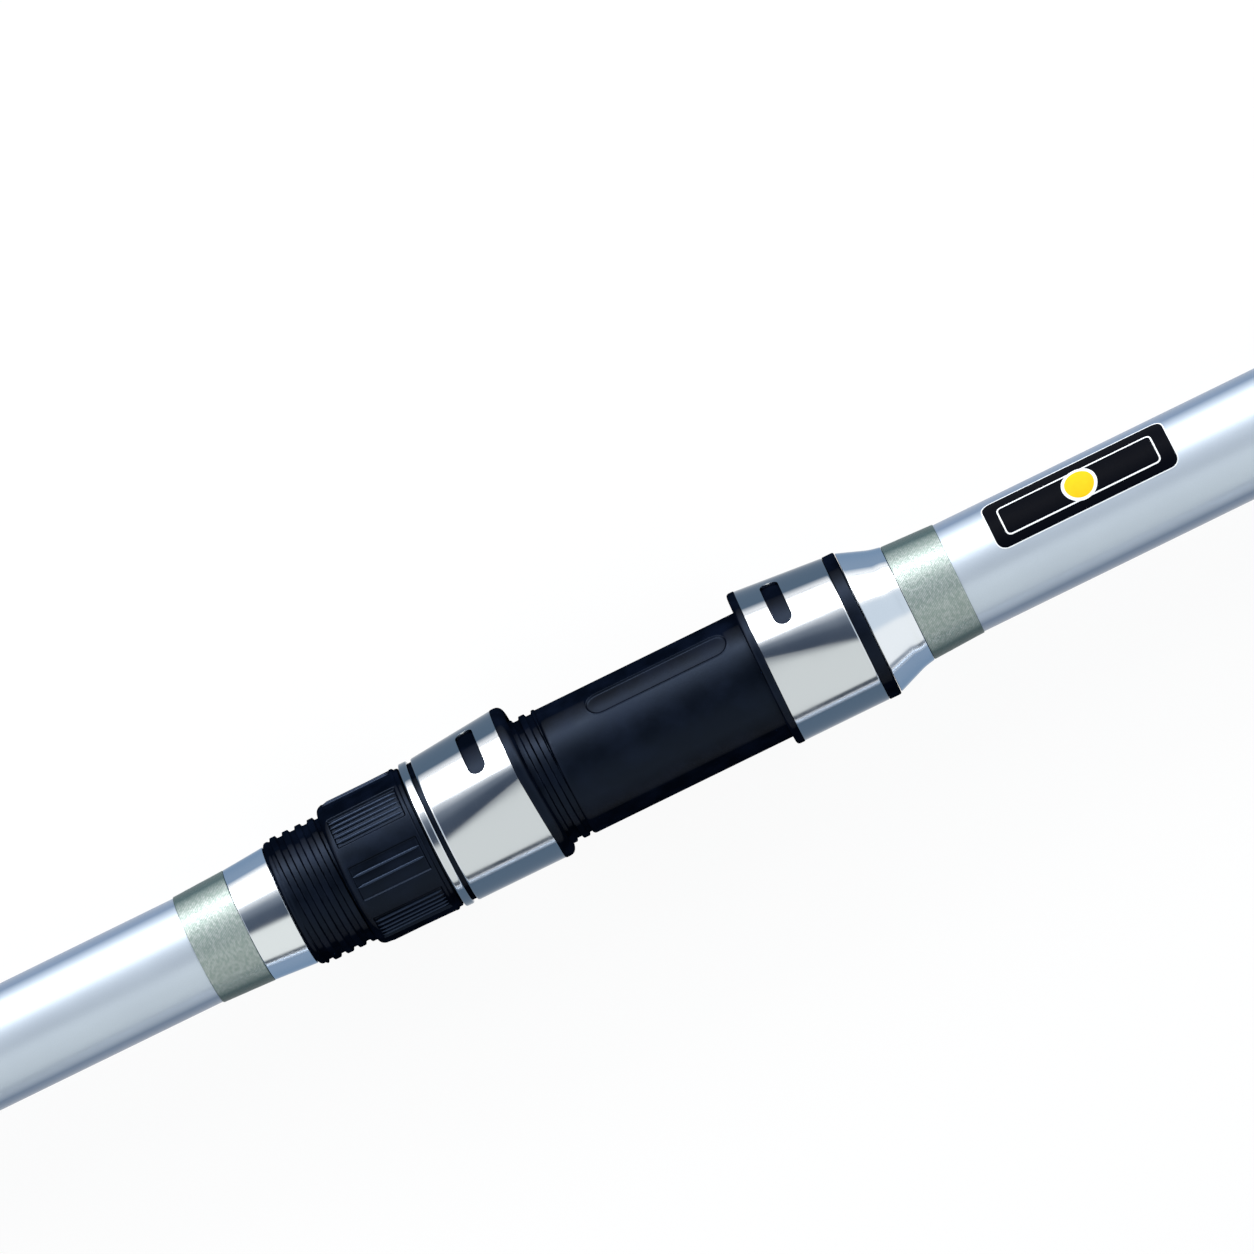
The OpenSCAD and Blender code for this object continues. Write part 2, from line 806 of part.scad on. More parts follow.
module mid_mesh_wrap()
    color(polished)
        on_mid()
            band(mid_shape, mesh_wrap_x, mesh_wrap_len, mesh_wrap_high, mesh_wrap_high, 0.2);

module mid_socket_ring()
    color(polished)
        on_mid()
            band(mid_shape, mid_len - mid_ring_len, mid_ring_len, mid_ring_wall, mid_ring_wall, 0.2);

module tip_spigot()
    color(matte)
        on_tip()
            spigot(tip_spigot_len, tip_spigot_d, tip_bore_d, tip_glued_len);

module tip_blank() {
    glued_end = tip_spigot_len + tip_glued_len + glued_room;
    hollow_end_r = 0.8;
    color(paint)
        on_tip()
            turned(concat(tip_shape, [
                [tip_blank_end, 0], [tip_hollow_end, 0], [tip_hollow_end, hollow_end_r],
                [glued_end, tip_bore_d / 2], [tip_spigot_len, tip_bore_d / 2]
            ]));
}

// Line guides

// One guide as [place of the ring, ring radius, height of the ring's centre over the axis, blank shape,
// wire radius, length of upper wrap, length of lower wrap, distance between the wraps, leg angle]
function guide(shape, x, d, high, wire_r, upper, lower, apart, leg) =
    [x, d / 2, r_at(shape, x) + high + d / 2, shape, wire_r, upper, lower, apart, leg];
mid_guides = [for (i = [0 : len(mid_guide_x) - 1])
    guide(mid_shape, mid_guide_x[i], mid_guide_d[i], mid_guide_high[i], mid_guide_wire / 2,
          mid_upper_wrap, mid_lower_wrap, mid_wraps_apart, mid_leg_angle)];
tip_guides = [for (i = [0 : len(tip_guide_x) - 1])
    guide(tip_shape, tip_guide_x[i], tip_guide_d[i], tip_guide_high[i], tip_guide_wire / 2,
          tip_wrap_len, tip_wrap_len, tip_wraps_apart, tip_leg_angle)];

// Places that frame and wraps share: the upper wrap begins just ahead of the ring
function upper_x(g) = g[0] + upper_wrap_ahead;
function lower_x(g) = upper_x(g) - g[7];
function bed_y(g, x) = r_at(g[3], x) + glue;
function foot_width(g) = min(3.2, 0.6 + 0.5 * r_at(g[3], g[0]));

// A tongue that lies along the blank, pointed away from the ring
module guide_foot(x, length, way, y, width) {
    root = width / 2;
    point = width / 5;
    translate([x, y + foot_t, 0])
        rotate([90, 0, 0])
            linear_extrude(foot_t) {
                polygon([[0, -root], [way * length, -point], [way * length, point], [0, root]]);
                translate([way * length, 0])
                    circle(r = point);
                circle(r = root);
            }
}

module guide_feet(g) {
    guide_foot(upper_x(g) - foot_short, g[5], 1, bed_y(g, upper_x(g)), foot_width(g));
    guide_foot(lower_x(g) + foot_short, g[6], -1, bed_y(g, lower_x(g) - g[6]), foot_width(g));
}

module guide_frame(g) {
    x = g[0];
    r = g[1];
    high = g[2];
    w = g[4];
    ease = 0.2;
    band_r = r - hoop_wall / 2;
    hole_half = hoop_w / 2 + glue;
    root_high = w + 0.1;
    upper_root = [upper_x(g) - foot_short, bed_y(g, upper_x(g)) + root_high, 0];
    lower_root = [lower_x(g) + foot_short, bed_y(g, lower_x(g) - g[6]) + root_high, 0];
    leg_top = [x - hoop_w / 2 + ease, high - band_r * cos(g[8]), band_r * sin(g[8])];
    color(polished)
        difference() {
            union() {
                translate([0, high, 0])
                    turned([
                        [x - hoop_w / 2, 0], [x - hoop_w / 2, r - ease], [x - hoop_w / 2 + ease, r],
                        [x + hoop_w / 2 - ease, r], [x + hoop_w / 2, r - ease], [x + hoop_w / 2, 0]
                    ]);
                wire(upper_root, [x, high - band_r, 0], w);
                weld(upper_root, w);
                weld([x, high - band_r, 0], w);
                for (side = [-1, 1]) {
                    wire(lower_root, [leg_top.x, leg_top.y, side * leg_top.z], w);
                    weld([leg_top.x, leg_top.y, side * leg_top.z], w);
                }
                weld(lower_root, w);
                guide_feet(g);
            }
            translate([0, high, 0])
                rod(x - hole_half, 2 * hole_half, r - hoop_wall);
        }
}

module guide_ring(g) {
    outer = g[1] - hoop_wall - glue;
    inner = g[1] - hoop_wall - ring_wall;
    half = hoop_w / 2;
    bend = ring_wall / 2;
    color(black)
        translate([0, g[2], 0])
            turned(concat(
                [[g[0] - half, outer]],
                arc(g[0] - half + bend, inner + bend, bend, 180, 270, 4),
                arc(g[0] + half - bend, inner + bend, bend, 270, 360, 4),
                [[g[0] + half, outer]]
            ));
}

module guide_wraps(g)
    color(thread_green)
        difference() {
            union() {
                band(g[3], upper_x(g), g[5], guide_wrap_high, guide_wrap_high);
                band(g[3], lower_x(g) - g[6], g[6], guide_wrap_high, guide_wrap_high);
            }
            foot_rooms(g);
        }

// The room that the feet take under the thread
module foot_rooms(g) {
    root = foot_width(g) / 2 + glue;
    point = foot_width(g) / 5 + glue;
    past = 0.8;
    for (end = [[upper_x(g) - foot_short, g[5], 1, bed_y(g, upper_x(g))],
                [lower_x(g) + foot_short, g[6], -1, bed_y(g, lower_x(g) - g[6])]])
        translate([end[0], end[3] + foot_t + glue, 0])
            rotate([90, 0, 0])
                linear_extrude(foot_t + cut)
                    polygon([[0, -root], [end[2] * (end[1] + past), -point],
                             [end[2] * (end[1] + past), point], [0, root]]);
}

// Tip-top

// A straight leg of the loop, run a little past both its ends
module leg(a, b, r) {
    way = b - a;
    past = 0.2;
    translate([a.x, a.y, 0])
        rotate([0, 0, atan2(way.y, way.x)])
            rod(-past, norm(way) + 2 * past, r);
}

module tip_top_frame() {
    tube_x = loop_x - top_tube_len;
    wire_r = loop_wire / 2;
    bend = loop_w / 2 - wire_r;
    bend_x = tip_len - loop_w / 2;
    ease = 0.3;
    taper = 1;
    nose_x = loop_x + 0.8;
    root_x = loop_x + ease;
    slope = asin(bend / (bend_x - root_x));
    color(polished)
        on_tip() {
            difference() {
                turned([
                    [tube_x, 0], [tube_x, top_tube_d / 2 - ease], [tube_x + taper, top_tube_d / 2],
                    [loop_x - taper, top_tube_d / 2], [nose_x, wire_r + bevel], [nose_x, 0]
                ]);
                turned([
                    [tube_x - cut, 0], [tube_x - cut, r_at(tip_shape, tube_x - cut) + glue],
                    [tip_blank_end + glue, tip_d_end / 2 + glue], [tip_blank_end + glue, 0]
                ]);
            }
            for (side = [-1, 1])
                leg([root_x, 0], [bend_x - bend * sin(slope), side * bend * cos(slope)], wire_r + glue);
            translate([bend_x, 0, 0])
                rotate([0, 0, -90 - slope])
                    rotate_extrude(angle = 180 + 2 * slope)
                        translate([bend, 0])
                            circle(r = wire_r);
        }
}

module tip_top_ring() {
    outer = loop_w / 2 - loop_wire - glue;
    wall = 0.9;
    color(black)
        on_tip()
            translate([tip_len - loop_w / 2, 0, 0])
                rotate_extrude()
                    translate([outer - wall / 2, 0])
                        circle(d = wall, $fn = 32);
}

module tip_top_wrap() {
    first = loop_x - top_tube_len - top_whip_len;
    low = 0.3;
    color(matte)
        on_tip()
            band(tip_shape, first, top_whip_len - glue, low, 2 * low, low);
}

butt_blank();
butt_end_cap();
butt_flare_ring();
butt_grip();
seat_shim_rear();
seat_shim_front();
seat_body();
rear_wrap();
rear_cone();
fixed_hood_cover();
fixed_hood_liner();
fixed_hood_band();
front_cone();
front_wrap();
top_wrap();
top_trim_ring();
butt_socket_ring();
hood_cover();
hood_liner();
thrust_ring();
lock_nut();
mid_blank();
mid_spigot();
mid_mesh_wrap();
mid_socket_ring();
tip_blank();
tip_spigot();
tip_top_frame();
tip_top_ring();
tip_top_wrap();
for (i = [1 : len(mid_guides)]) {
    on_mid() guide_frame(mid_guides[i - 1]);
    on_mid() guide_ring(mid_guides[i - 1]);
    on_mid() guide_wraps(mid_guides[i - 1]);
}
for (i = [1 : len(tip_guides)]) {
    on_tip() guide_frame(tip_guides[i - 1]);
    on_tip() guide_ring(tip_guides[i - 1]);
    on_tip() guide_wraps(tip_guides[i - 1]);
}
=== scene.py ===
"""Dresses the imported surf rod: painted blanks, the reel seat with its nut and hoods, wraps and guides.

Lengths in the code are in millimetres along a section from its lower end, unless a name says otherwise.
"""
import math
from collections import namedtuple
from functools import cache, partial

import bmesh
import bpy
import numpy as np
from mathutils import Matrix, Vector


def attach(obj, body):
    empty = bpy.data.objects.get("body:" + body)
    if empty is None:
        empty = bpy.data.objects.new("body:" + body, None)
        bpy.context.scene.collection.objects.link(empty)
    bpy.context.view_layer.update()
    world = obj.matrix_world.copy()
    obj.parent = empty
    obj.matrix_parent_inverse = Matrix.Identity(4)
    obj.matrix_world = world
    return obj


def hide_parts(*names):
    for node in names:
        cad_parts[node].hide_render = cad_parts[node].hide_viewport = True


bl_info = {
    "name": "Surf rod",
    "version": (1, 0, 0),
    "blender": (4, 5, 0),
    "location": "3D View > Sidebar > Surf rod",
    "description": "Builds the looks of a three-piece surf rod round its packed solids",
    "category": "Object",
}

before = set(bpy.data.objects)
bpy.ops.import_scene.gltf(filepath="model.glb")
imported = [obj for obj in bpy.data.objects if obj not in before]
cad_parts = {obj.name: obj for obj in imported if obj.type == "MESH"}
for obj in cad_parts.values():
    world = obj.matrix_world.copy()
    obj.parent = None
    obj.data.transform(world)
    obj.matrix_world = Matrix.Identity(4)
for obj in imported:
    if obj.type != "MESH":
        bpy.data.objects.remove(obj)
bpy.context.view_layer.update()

MM = 0.001
Section = namedtuple("Section", "start_m y_m z_m body")
BUTT = Section(-0.786, 0.10196, 0.01558, "butt")
HOOD = BUTT._replace(body="hood")
NUT = BUTT._replace(body="nut")
MID = Section(-0.786, -0.04804, 0.013, "mid")
TIP = Section(-0.786, -0.11304, 0.0075, "tip")

# Outer radius of each blank at places along it, as its solid has them
BUTT_SHAPE = [(17, 10.5), (171, 10.5), (627.1, 10.78), (785.7, 11.06), (1572, 10.7)]
MID_SHAPE = [(114, 9.3), (1548, 6.65)]
TIP_SHAPE = [(89, 4.85), (471, 3.5), (1250, 1.5), (1517, 1.0)]


# Colours

def linear(hex_colour):
    """The linear colour that Blender wants, from an sRGB hex value."""
    parts = [int(hex_colour[i:i + 2], 16) / 255 for i in (1, 3, 5)]
    return tuple(c / 12.92 if c <= 0.04045 else ((c + 0.055) / 1.055) ** 2.4 for c in parts) + (1.0,)


# Outlines of round pieces, as places and radii

# A rounded corner has this many straight pieces
CORNER_STEPS = 5


def radius_at(shape, x):
    """Radius of a blank at one place along it, or at many."""
    return np.interp(x, *zip(*shape))


def softened(corners):
    """A closed outline with rounded corners. Each corner is place, radius and the bend to round it by."""
    out = []
    for i, (x, r, *bend) in enumerate(corners):
        here = Vector((x, r))
        if not bend:
            out.append(tuple(here))
            continue
        before = Vector(corners[i - 1][:2]) - here
        after = Vector(corners[(i + 1) % len(corners)][:2]) - here
        reach = min(bend[0], 0.48 * before.length, 0.48 * after.length)
        first = here + before.normalized() * reach
        last = here + after.normalized() * reach
        for t in np.linspace(0, 1, CORNER_STEPS + 1):
            out.append(tuple(first * (1 - t) ** 2 + here * 2 * t * (1 - t) + last * t * t))
    return out


def hoop(bore, *corners):
    """Outline of a ring from its bore and its outer corners."""
    return softened([(corners[0][0], bore), *corners, (corners[-1][0], bore)])


def band_outline(shape, x, length, high, high_end, bend):
    """Outline of a band on a blank, its edges rounded."""
    sunk = 0.15
    r0, r1 = radius_at(shape, x), radius_at(shape, x + length)
    return softened([(x, r0 - sunk), (x, r0 + high, bend), (x + length, r1 + high_end, bend),
                     (x + length, r1 - sunk)])


def nose(radius, bend, steps=12):
    """A quarter round from a section's lower end out to a radius."""
    return [(bend - bend * math.cos(a), radius - bend + bend * math.sin(a))
            for a in np.linspace(0, math.pi / 2, steps)]


# Meshes

def ease(t):
    """Smooth step from 0 to 1 over t from 0 to 1."""
    t = np.clip(t, 0, 1)
    return t * t * (3 - 2 * t)


def within(x, first, last, rise, fall):
    """1 between two places and 0 outside of them, with a smooth rise and fall inside."""
    return ease((x - first) / rise) * ease((last - x) / fall)


def round_points(x, r, angles):
    """Points at places and radii, at angles in radians from straight up towards the guides' side."""
    x, r, angles = np.broadcast_arrays(x, r, angles)
    return np.column_stack([x, r * np.sin(angles), r * np.cos(angles)])


def ring_faces(count, around, closed=True):
    """Faces that join rows of points round a piece; a closed one joins its last row to the first."""
    faces = []
    for i in range(count if closed else count - 1):
        row, other = i * around, (i + 1) % count * around
        for k in range(around):
            n = (k + 1) % around
            faces.append([row + k, other + k, other + n, row + n])
    return faces


def in_scene(name, data):
    """A new object in the scene."""
    obj = bpy.data.objects.new(name, data)
    bpy.context.scene.collection.objects.link(obj)
    return obj


def make_object(name, points, faces, section):
    """An object at the origin, from points in a section's millimetres: along it, to the guides' side, up."""
    mesh = bpy.data.meshes.new(name)
    placed = np.asarray(points, float) * MM + (section.start_m, section.y_m, section.z_m)
    mesh.from_pydata(placed.tolist(), [], [[int(v) for v in face] for face in faces])
    mesh.validate()
    return in_scene(name, mesh)


def smooth(obj, sharp=35):
    """Smooth shading, except across edges sharper than an angle in degrees."""
    obj.data.shade_smooth()
    obj.data.set_sharp_from_angle(angle=math.radians(sharp))
    return obj


def tidy(obj, merge_mm=0.0002, section=None):
    """Merges doubled points and turns the faces outwards: for a sheet, away from a section's axis."""
    work = bmesh.new()
    work.from_mesh(obj.data)
    bmesh.ops.remove_doubles(work, verts=work.verts, dist=merge_mm * MM)
    if section is None:
        bmesh.ops.recalc_face_normals(work, faces=work.faces)
    else:
        axis = Vector((0, section.y_m, section.z_m))
        across = Vector((0, 1, 1))
        if sum(f.normal.dot(f.calc_center_median() * across - axis) for f in work.faces) < 0:
            bmesh.ops.reverse_faces(work, faces=work.faces)
    work.to_mesh(obj.data)
    work.free()
    return obj


def bake(obj):
    """Turns a piece with live modifiers into a plain mesh."""
    graph = bpy.context.evaluated_depsgraph_get()
    mesh = bpy.data.meshes.new_from_object(obj.evaluated_get(graph), depsgraph=graph)
    old = obj.data
    obj.modifiers.clear()
    obj.data = mesh
    bpy.data.meshes.remove(old)
    mesh.name = obj.name
    return obj


def thicken(obj, thick_mm, edge_mm=0.0):
    """Gives a sheet its thickness, inwards from its face, and rounds its edges."""
    sheet = obj.modifiers.new("sheet", "SOLIDIFY")
    sheet.thickness = thick_mm * MM
    sheet.offset = -1
    if edge_mm:
        rounded = obj.modifiers.new("edges", "BEVEL")
        rounded.width = edge_mm * MM
        rounded.segments = 3
        rounded.limit_method = "ANGLE"
        rounded.angle_limit = math.radians(50)
    return bake(obj)


def turned(name, section, outline, around=160, sharp=35):
    """A round piece: a closed outline of place and radius, turned about the section's axis."""
    angles = np.linspace(0, 2 * math.pi, around, endpoint=False)
    points, rings, faces = [], [], []
    for x, r in outline:
        if r < 1e-6:
            rings.append([len(points)] * around)
            points.append((x, 0, 0))
        else:
            rings.append(range(len(points), len(points) + around))
            points.extend(round_points(x, r, angles))
    for ring, other in zip(rings, rings[1:] + rings[:1]):
        if ring[0] == ring[-1] and other[0] == other[-1]:
            continue
        for k in range(around):
            n = (k + 1) % around
            faces.append(list(dict.fromkeys([ring[k], ring[n], other[n], other[k]])))
    return smooth(tidy(make_object(name, points, faces, section)), sharp)


def grid_tube(name, section, xs, angles, radii, bore, sharp):
    """A round piece from a radius for each place and angle, closed by a plain bore."""
    rows = [*zip(xs, radii), (xs[-1], bore), (xs[0], bore)]
    points = np.concatenate([round_points(x, r, angles) for x, r in rows])
    return smooth(tidy(make_object(name, points, ring_faces(len(rows), len(angles)), section)), sharp)


def coat(obj, material):
    """Gives an object one material."""
    obj.data.materials.clear()
    obj.data.materials.append(material)


def place(obj, section, material, slot, *nodes):
    """Gives a finished piece its material and body, and lets it stand for solids. Its slot is not used."""
    coat(obj, material)
    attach(obj, section.body)
    if nodes:
        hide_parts(*nodes)
    return obj


def lathe(name, outline, section, material, slot, node, around=160):
    """A turned piece in its finish, for one solid."""
    place(turned(name, section, outline, around), section, material, slot, node)


# Node trees

# Places of a colour Mix node's sockets
MIX_FACTOR, MIX_FIRST, MIX_SECOND, MIX_RESULT = 0, 6, 7, 2


def feed(tree, node, inputs):
    """Gives a node's inputs their values, or sockets to link from."""
    for socket, value in inputs.items():
        if isinstance(value, bpy.types.NodeSocket):
            tree.links.new(value, node.inputs[socket])
        else:
            node.inputs[socket].default_value = value


def add(tree, kind, inputs=None, **settings):
    """Adds a node with its settings and inputs."""
    made = tree.nodes.new(kind)
    for name, value in settings.items():
        setattr(made, name, value)
    feed(tree, made, inputs or {})
    return made


def empty_tree(owner):
    """The node tree of a material or world, cleared."""
    owner.use_nodes = True
    owner.node_tree.nodes.clear()
    return owner.node_tree


def start_material(name, values):
    """A material with one Principled shader; returns it, its tree, the shader and Object coordinates."""
    material = bpy.data.materials.new(name)
    tree = empty_tree(material)
    shader = add(tree, "ShaderNodeBsdfPrincipled", values)
    add(tree, "ShaderNodeOutputMaterial", {"Surface": shader.outputs[0]})
    coords = add(tree, "ShaderNodeTexCoord").outputs["Object"]
    return material, tree, shader, coords


def maths(tree, operation, *values):
    """The result of one step of arithmetic."""
    return add(tree, "ShaderNodeMath", dict(enumerate(values)), operation=operation).outputs[0]


def on_axis(tree, coords, section):
    """Coordinates whose origin is the section's lower end, on its axis."""
    origin = (-section.start_m, -section.y_m, -section.z_m)
    return add(tree, "ShaderNodeMapping", {"Vector": coords, "Location": origin}).outputs[0]


def weave(tree, coords, section, spacing_mm, count):
    """Phases of waves along a section, at a spacing, and round it, a number of times."""
    way = add(tree, "ShaderNodeSeparateXYZ", {"Vector": on_axis(tree, coords, section)}).outputs
    angle = maths(tree, "ARCTAN2", way[1], way[2])
    return (maths(tree, "MULTIPLY", way[0], 2 * math.pi * per_mm(spacing_mm)),
            maths(tree, "MULTIPLY", angle, count))


def per_mm(spacing_mm):
    """Scale of a texture whose pattern repeats at a spacing in millimetres."""
    return 1000 / spacing_mm


def noise(tree, coords, spacing_mm, detail, across=1.0):
    """Noise of a real spacing; a scale across the rod below 1 draws it out into lines round the rod."""
    if across != 1.0:
        coords = add(tree, "ShaderNodeMapping", {"Vector": coords, "Scale": (1, across, across)}).outputs[0]
    return add(tree, "ShaderNodeTexNoise", {
        "Vector": coords, "Scale": per_mm(spacing_mm), "Detail": detail}).outputs[0]


def darker(tree, tone, share):
    """A colour at a share of its brightness."""
    return add(tree, "ShaderNodeHueSaturation", {"Color": tone, "Value": share}).outputs[0]


def bump(tree, height, distance_mm, strength, **under):
    """A bump of a real height, over another one where Normal gives it."""
    inputs = {"Height": height, "Distance": distance_mm * MM, "Strength": strength, **under}
    return add(tree, "ShaderNodeBump", inputs).outputs[0]


def ranged(tree, value, low, high, to_low, to_high):
    """A value moved from one range to another."""
    return add(tree, "ShaderNodeMapRange", {
        "Value": value, "From Min": low, "From Max": high, "To Min": to_low, "To Max": to_high,
    }).outputs[0]


def blend(tree, first, second, value, low, high, at_low=0.0, at_high=1.0):
    """A colour between two colours; the second one's share follows a value over a range."""
    share = ranged(tree, value, low, high, at_low, at_high)
    return add(tree, "ShaderNodeMix", {MIX_FACTOR: share, MIX_FIRST: first, MIX_SECOND: second},
               data_type="RGBA").outputs[MIX_RESULT]


def geometry_tree(name, inputs):
    """An empty Geometry Nodes tree with inputs of given kinds; returns it and the inputs' sockets."""
    tree = bpy.data.node_groups.new(name, "GeometryNodeTree")
    for key, kind in inputs.items():
        tree.interface.new_socket(key, in_out="INPUT", socket_type="NodeSocket" + kind)
    tree.interface.new_socket("Geometry", in_out="OUTPUT", socket_type="NodeSocketGeometry")
    return tree, add(tree, "NodeGroupInput").outputs


def close_tree(tree, geometry, material):
    """Ends a Geometry Nodes tree: plain geometry with one material."""
    whole = add(tree, "GeometryNodeRealizeInstances", {"Geometry": geometry}).outputs[0]
    finished = add(tree, "GeometryNodeSetMaterial", {"Geometry": whole, "Material": material}).outputs[0]
    add(tree, "NodeGroupOutput", {"Geometry": finished})
    return tree


def run_tree(obj, tree, values):
    """Runs a Geometry Nodes tree on an object and keeps the result as its plain mesh."""
    modifier = obj.modifiers.new("made", "NODES")
    modifier.node_group = tree
    identifiers = {s.name: s.identifier for s in tree.interface.items_tree if s.in_out == "INPUT"}
    for key, value in values.items():
        modifier[identifiers[key]] = value
    return bake(obj)


# Sizes and colours that a user would change

def number(name, text, value, low, high, kind=bpy.props.FloatProperty, **more):
    """A number as a property."""
    return kind(name=name, description=text, default=value, min=low, max=high, **more)


def colour(name, text, hex_value):
    """A colour as a property, from its sRGB hex value."""
    return bpy.props.FloatVectorProperty(
        name=name, description=text, subtype="COLOR", size=4, min=0, max=1, default=linear(hex_value),
    )


class SURFROD_PG_sizes(bpy.types.PropertyGroup):
    """Sizes in millimetres of what the solids show plainer"""

    pitch: number("Thread pitch", "Distance from one crest of the seat's thread to the next", 2.6, 2, 3.2)
    crest_r: number("Crest radius", "Radius over the thread's crests", 12.96, 12.8, 13)
    root_r: number("Root radius", "Radius at the thread's roots", 12.38, 12.2, 12.6)
    hood_r: number("Hood radius", "Radius of the hoods at their round ends", 14.68, 14.4, 15)
    hood_rise: number("Hood rise", "How far the hoods rise at their mouths", 1.62, 1, 2)
    sheet: number("Cover sheet", "Sheet thickness of the polished covers", 0.6, 0.3, 0.7)
    slot_long: number("Slot length", "Length of the cover slots round the hood", 12.7, 8, 14)
    slot_wide: number("Slot width", "Width of the cover slots along the rod", 3.62, 2, 5)
    zone_deep: number("Nut zone depth", "Depth of the nut's gripping zones", 0.42, 0.2, 0.6)
    rib_r: number("Rib radius", "Radius of the ribs in the nut's gripping zones", 0.32, 0.15, 0.5)
    turn: number("Thread turn", "Distance from one turn of winding thread to the next", 0.3, 0.2, 0.8)
    zones: number("Nut zones", "Gripping zones round the nut", 8, 4, 10, bpy.props.IntProperty)
    ribs: number("Fine ribs", "Ribs in each zone with fine ribs", 5, 1, 6, bpy.props.IntProperty)


class SURFROD_PG_colours(bpy.types.PropertyGroup):
    """Colours of the finishes"""

    paint: colour("Blank paint", "Silver-blue lacquer of the blanks", "#d3deea")
    # The lacquer's colour at its outline: a painted reflection of darker surroundings, not a change in the
    # paint
    paint_edge_painted_reflection: colour("Blank paint, edge", "The same lacquer where it turns away", "#5f7590")
    steel: colour("Polished steel", "Hood covers and rings", "#dfe3e8")
    # The steel's colour at its outline: a painted reflection of grey-blue surroundings
    steel_edge_painted_reflection: colour("Polished steel, edge", "The same steel where it turns away", "#506377")
    black: colour("Black plastic", "Seat, nut and hood liners", "#03060e")
    thread: colour("Winding thread", "Grey-green thread of the wraps", "#c0c6c4")
    # Darker tone between the turns: painted shade in the grooves, also used for random mottle
    thread_groove_shade_and_mottle: colour("Winding thread, dark", "The same thread between its turns", "#7b9087")
    # The thread's colour at its outline: a painted reflection of darker surroundings
    thread_edge_painted_reflection: colour("Winding thread, edge", "The same thread where it turns away", "#405457")
    rubber: colour("Rubber", "End cap", "#2c2d33")
    grip: colour("Grip", "Grip sleeve", "#20232c")
    spigot: colour("Spigot", "Bare carbon of the spigots", "#3a3d48")
    floor: colour("Floor", "Pale floor", "#f4f5f6")


class SURFROD_PG_stage(bpy.types.PropertyGroup):
    """Light and camera"""

    panel: number("Panel", "Radiance of the large lamp", 1.4, 0, 20)
    strip: number("Strip", "Radiance of the narrow lamp", 6, 0, 40)
    distance: number("Camera distance", "Camera's distance from the seat", 1.9, 0.5, 10, unit="LENGTH")
    span: number("Picture width", "Width that the picture shows at the seat", 0.2351, 0.05, 3,
                 unit="LENGTH")
    roll: number("Roll", "Angle of the rod above the picture's horizontal", math.radians(26.06), -3.2, 3.2,
                 subtype="ANGLE")


def sizes():
    """The sizes now set."""
    return bpy.context.scene.surfrod_sizes


def chosen(name):
    """A colour as now set."""
    return tuple(getattr(bpy.context.scene.surfrod_colours, name))


# Materials

# A Wave texture of scale 1 runs through this many radians in one metre
WAVE_STEP = 20


def facing(tree):
    """How far the surface turns away from the eye: 0 straight on, 1 at the outline."""
    return add(tree, "ShaderNodeLayerWeight", {"Blend": 0.5}).outputs["Facing"]


@cache
def lacquer():
    """Metallic lacquer sprayed over carbon and clear-coated: fine flakes glint below a smooth gloss.

    Towards its outline its colour is darkened, a painted reflection of darker surroundings.
    """
    material, tree, shader, coords = start_material("Metallic lacquer, sprayed", {
        "Metallic": 0.55, "Roughness": 0.36, "Coat Weight": 0.25, "Coat Roughness": 0.1, "Coat IOR": 1.5})
    flakes = add(tree, "ShaderNodeTexVoronoi", {"Vector": coords, "Scale": per_mm(0.25)}).outputs["Distance"]
    cloud = noise(tree, coords, 14, 3)
    shade = darker(tree, chosen("paint"), 0.92)
    fine = blend(tree, chosen("paint"), shade, flakes, 0, 1, 0, 0.5)
    face = blend(tree, fine, shade, cloud, 0.35, 0.65, 0, 0.35)
    feed(tree, shader, {
        # Base colour darkened towards the outline: painted reflection
        "Base Color": blend(tree, face, chosen("paint_edge_painted_reflection"), facing(tree), 0.25, 0.52),
        "Roughness": ranged(tree, cloud, 0.3, 0.7, 0.33, 0.39)})
    return material


@cache
def polished_metal(name, face, edge, tint):
    """Metal pressed or turned, then polished: mirror gloss, faint lines round the rod, and towards the
    outline a painted blue-grey reflection.
    """
    material, tree, shader, coords = start_material(name, {"Metallic": 1.0, "Specular Tint": linear(tint)})
    smear = noise(tree, coords, 6, 4)
    lines = noise(tree, coords, 0.3, 2, 0.05)
    feed(tree, shader, {
        # Base colour turns to the edge colour towards the outline: painted reflection
        "Base Color": blend(tree, face, edge, facing(tree), 0.3, 0.37),
        "Roughness": ranged(tree, smear, 0.3, 0.7, 0.1, 0.17),
        "Normal": bump(tree, lines, 0.002, 0.35)})
    return material


def polished_steel():
    """Stainless steel, pressed and polished: the covers and rings, a little darker than the cones."""
    return polished_metal("Stainless steel, polished", chosen("steel"), chosen("steel_edge_painted_reflection"), "#d6dbe1")


def polished_aluminium():
    """Aluminium, turned and polished: the cones, bright and bluish."""
    # The second colour, #7f95af, is a painted reflection towards the outline
    return polished_metal("Aluminium, turned and polished", linear("#f2f6fa"), linear("#7f95af"), "#c3d0de")


@cache
def nylon(name, gloss, tone):
    """Glass-filled nylon, injection moulded: near black with a satin sheen and a fine eroded grain."""
    material, tree, shader, coords = start_material(name, {
        "Roughness": 0.4, "Specular Tint": linear("#a6c0ea"), "Specular IOR Level": 0.1})
    cloud = noise(tree, coords, 5, 4)
    feed(tree, shader, {
        "Base Color": blend(tree, tone, linear("#0d1424"), cloud, 0.4, 0.75, 0, 0.5),
        "Specular IOR Level": ranged(tree, facing(tree), 0.14, 0.4, gloss, 0),
        "Roughness": ranged(tree, cloud, 0.3, 0.7, 0.36, 0.46),
        "Normal": bump(tree, noise(tree, coords, 0.35, 3), 0.02, 0.35)})
    return material


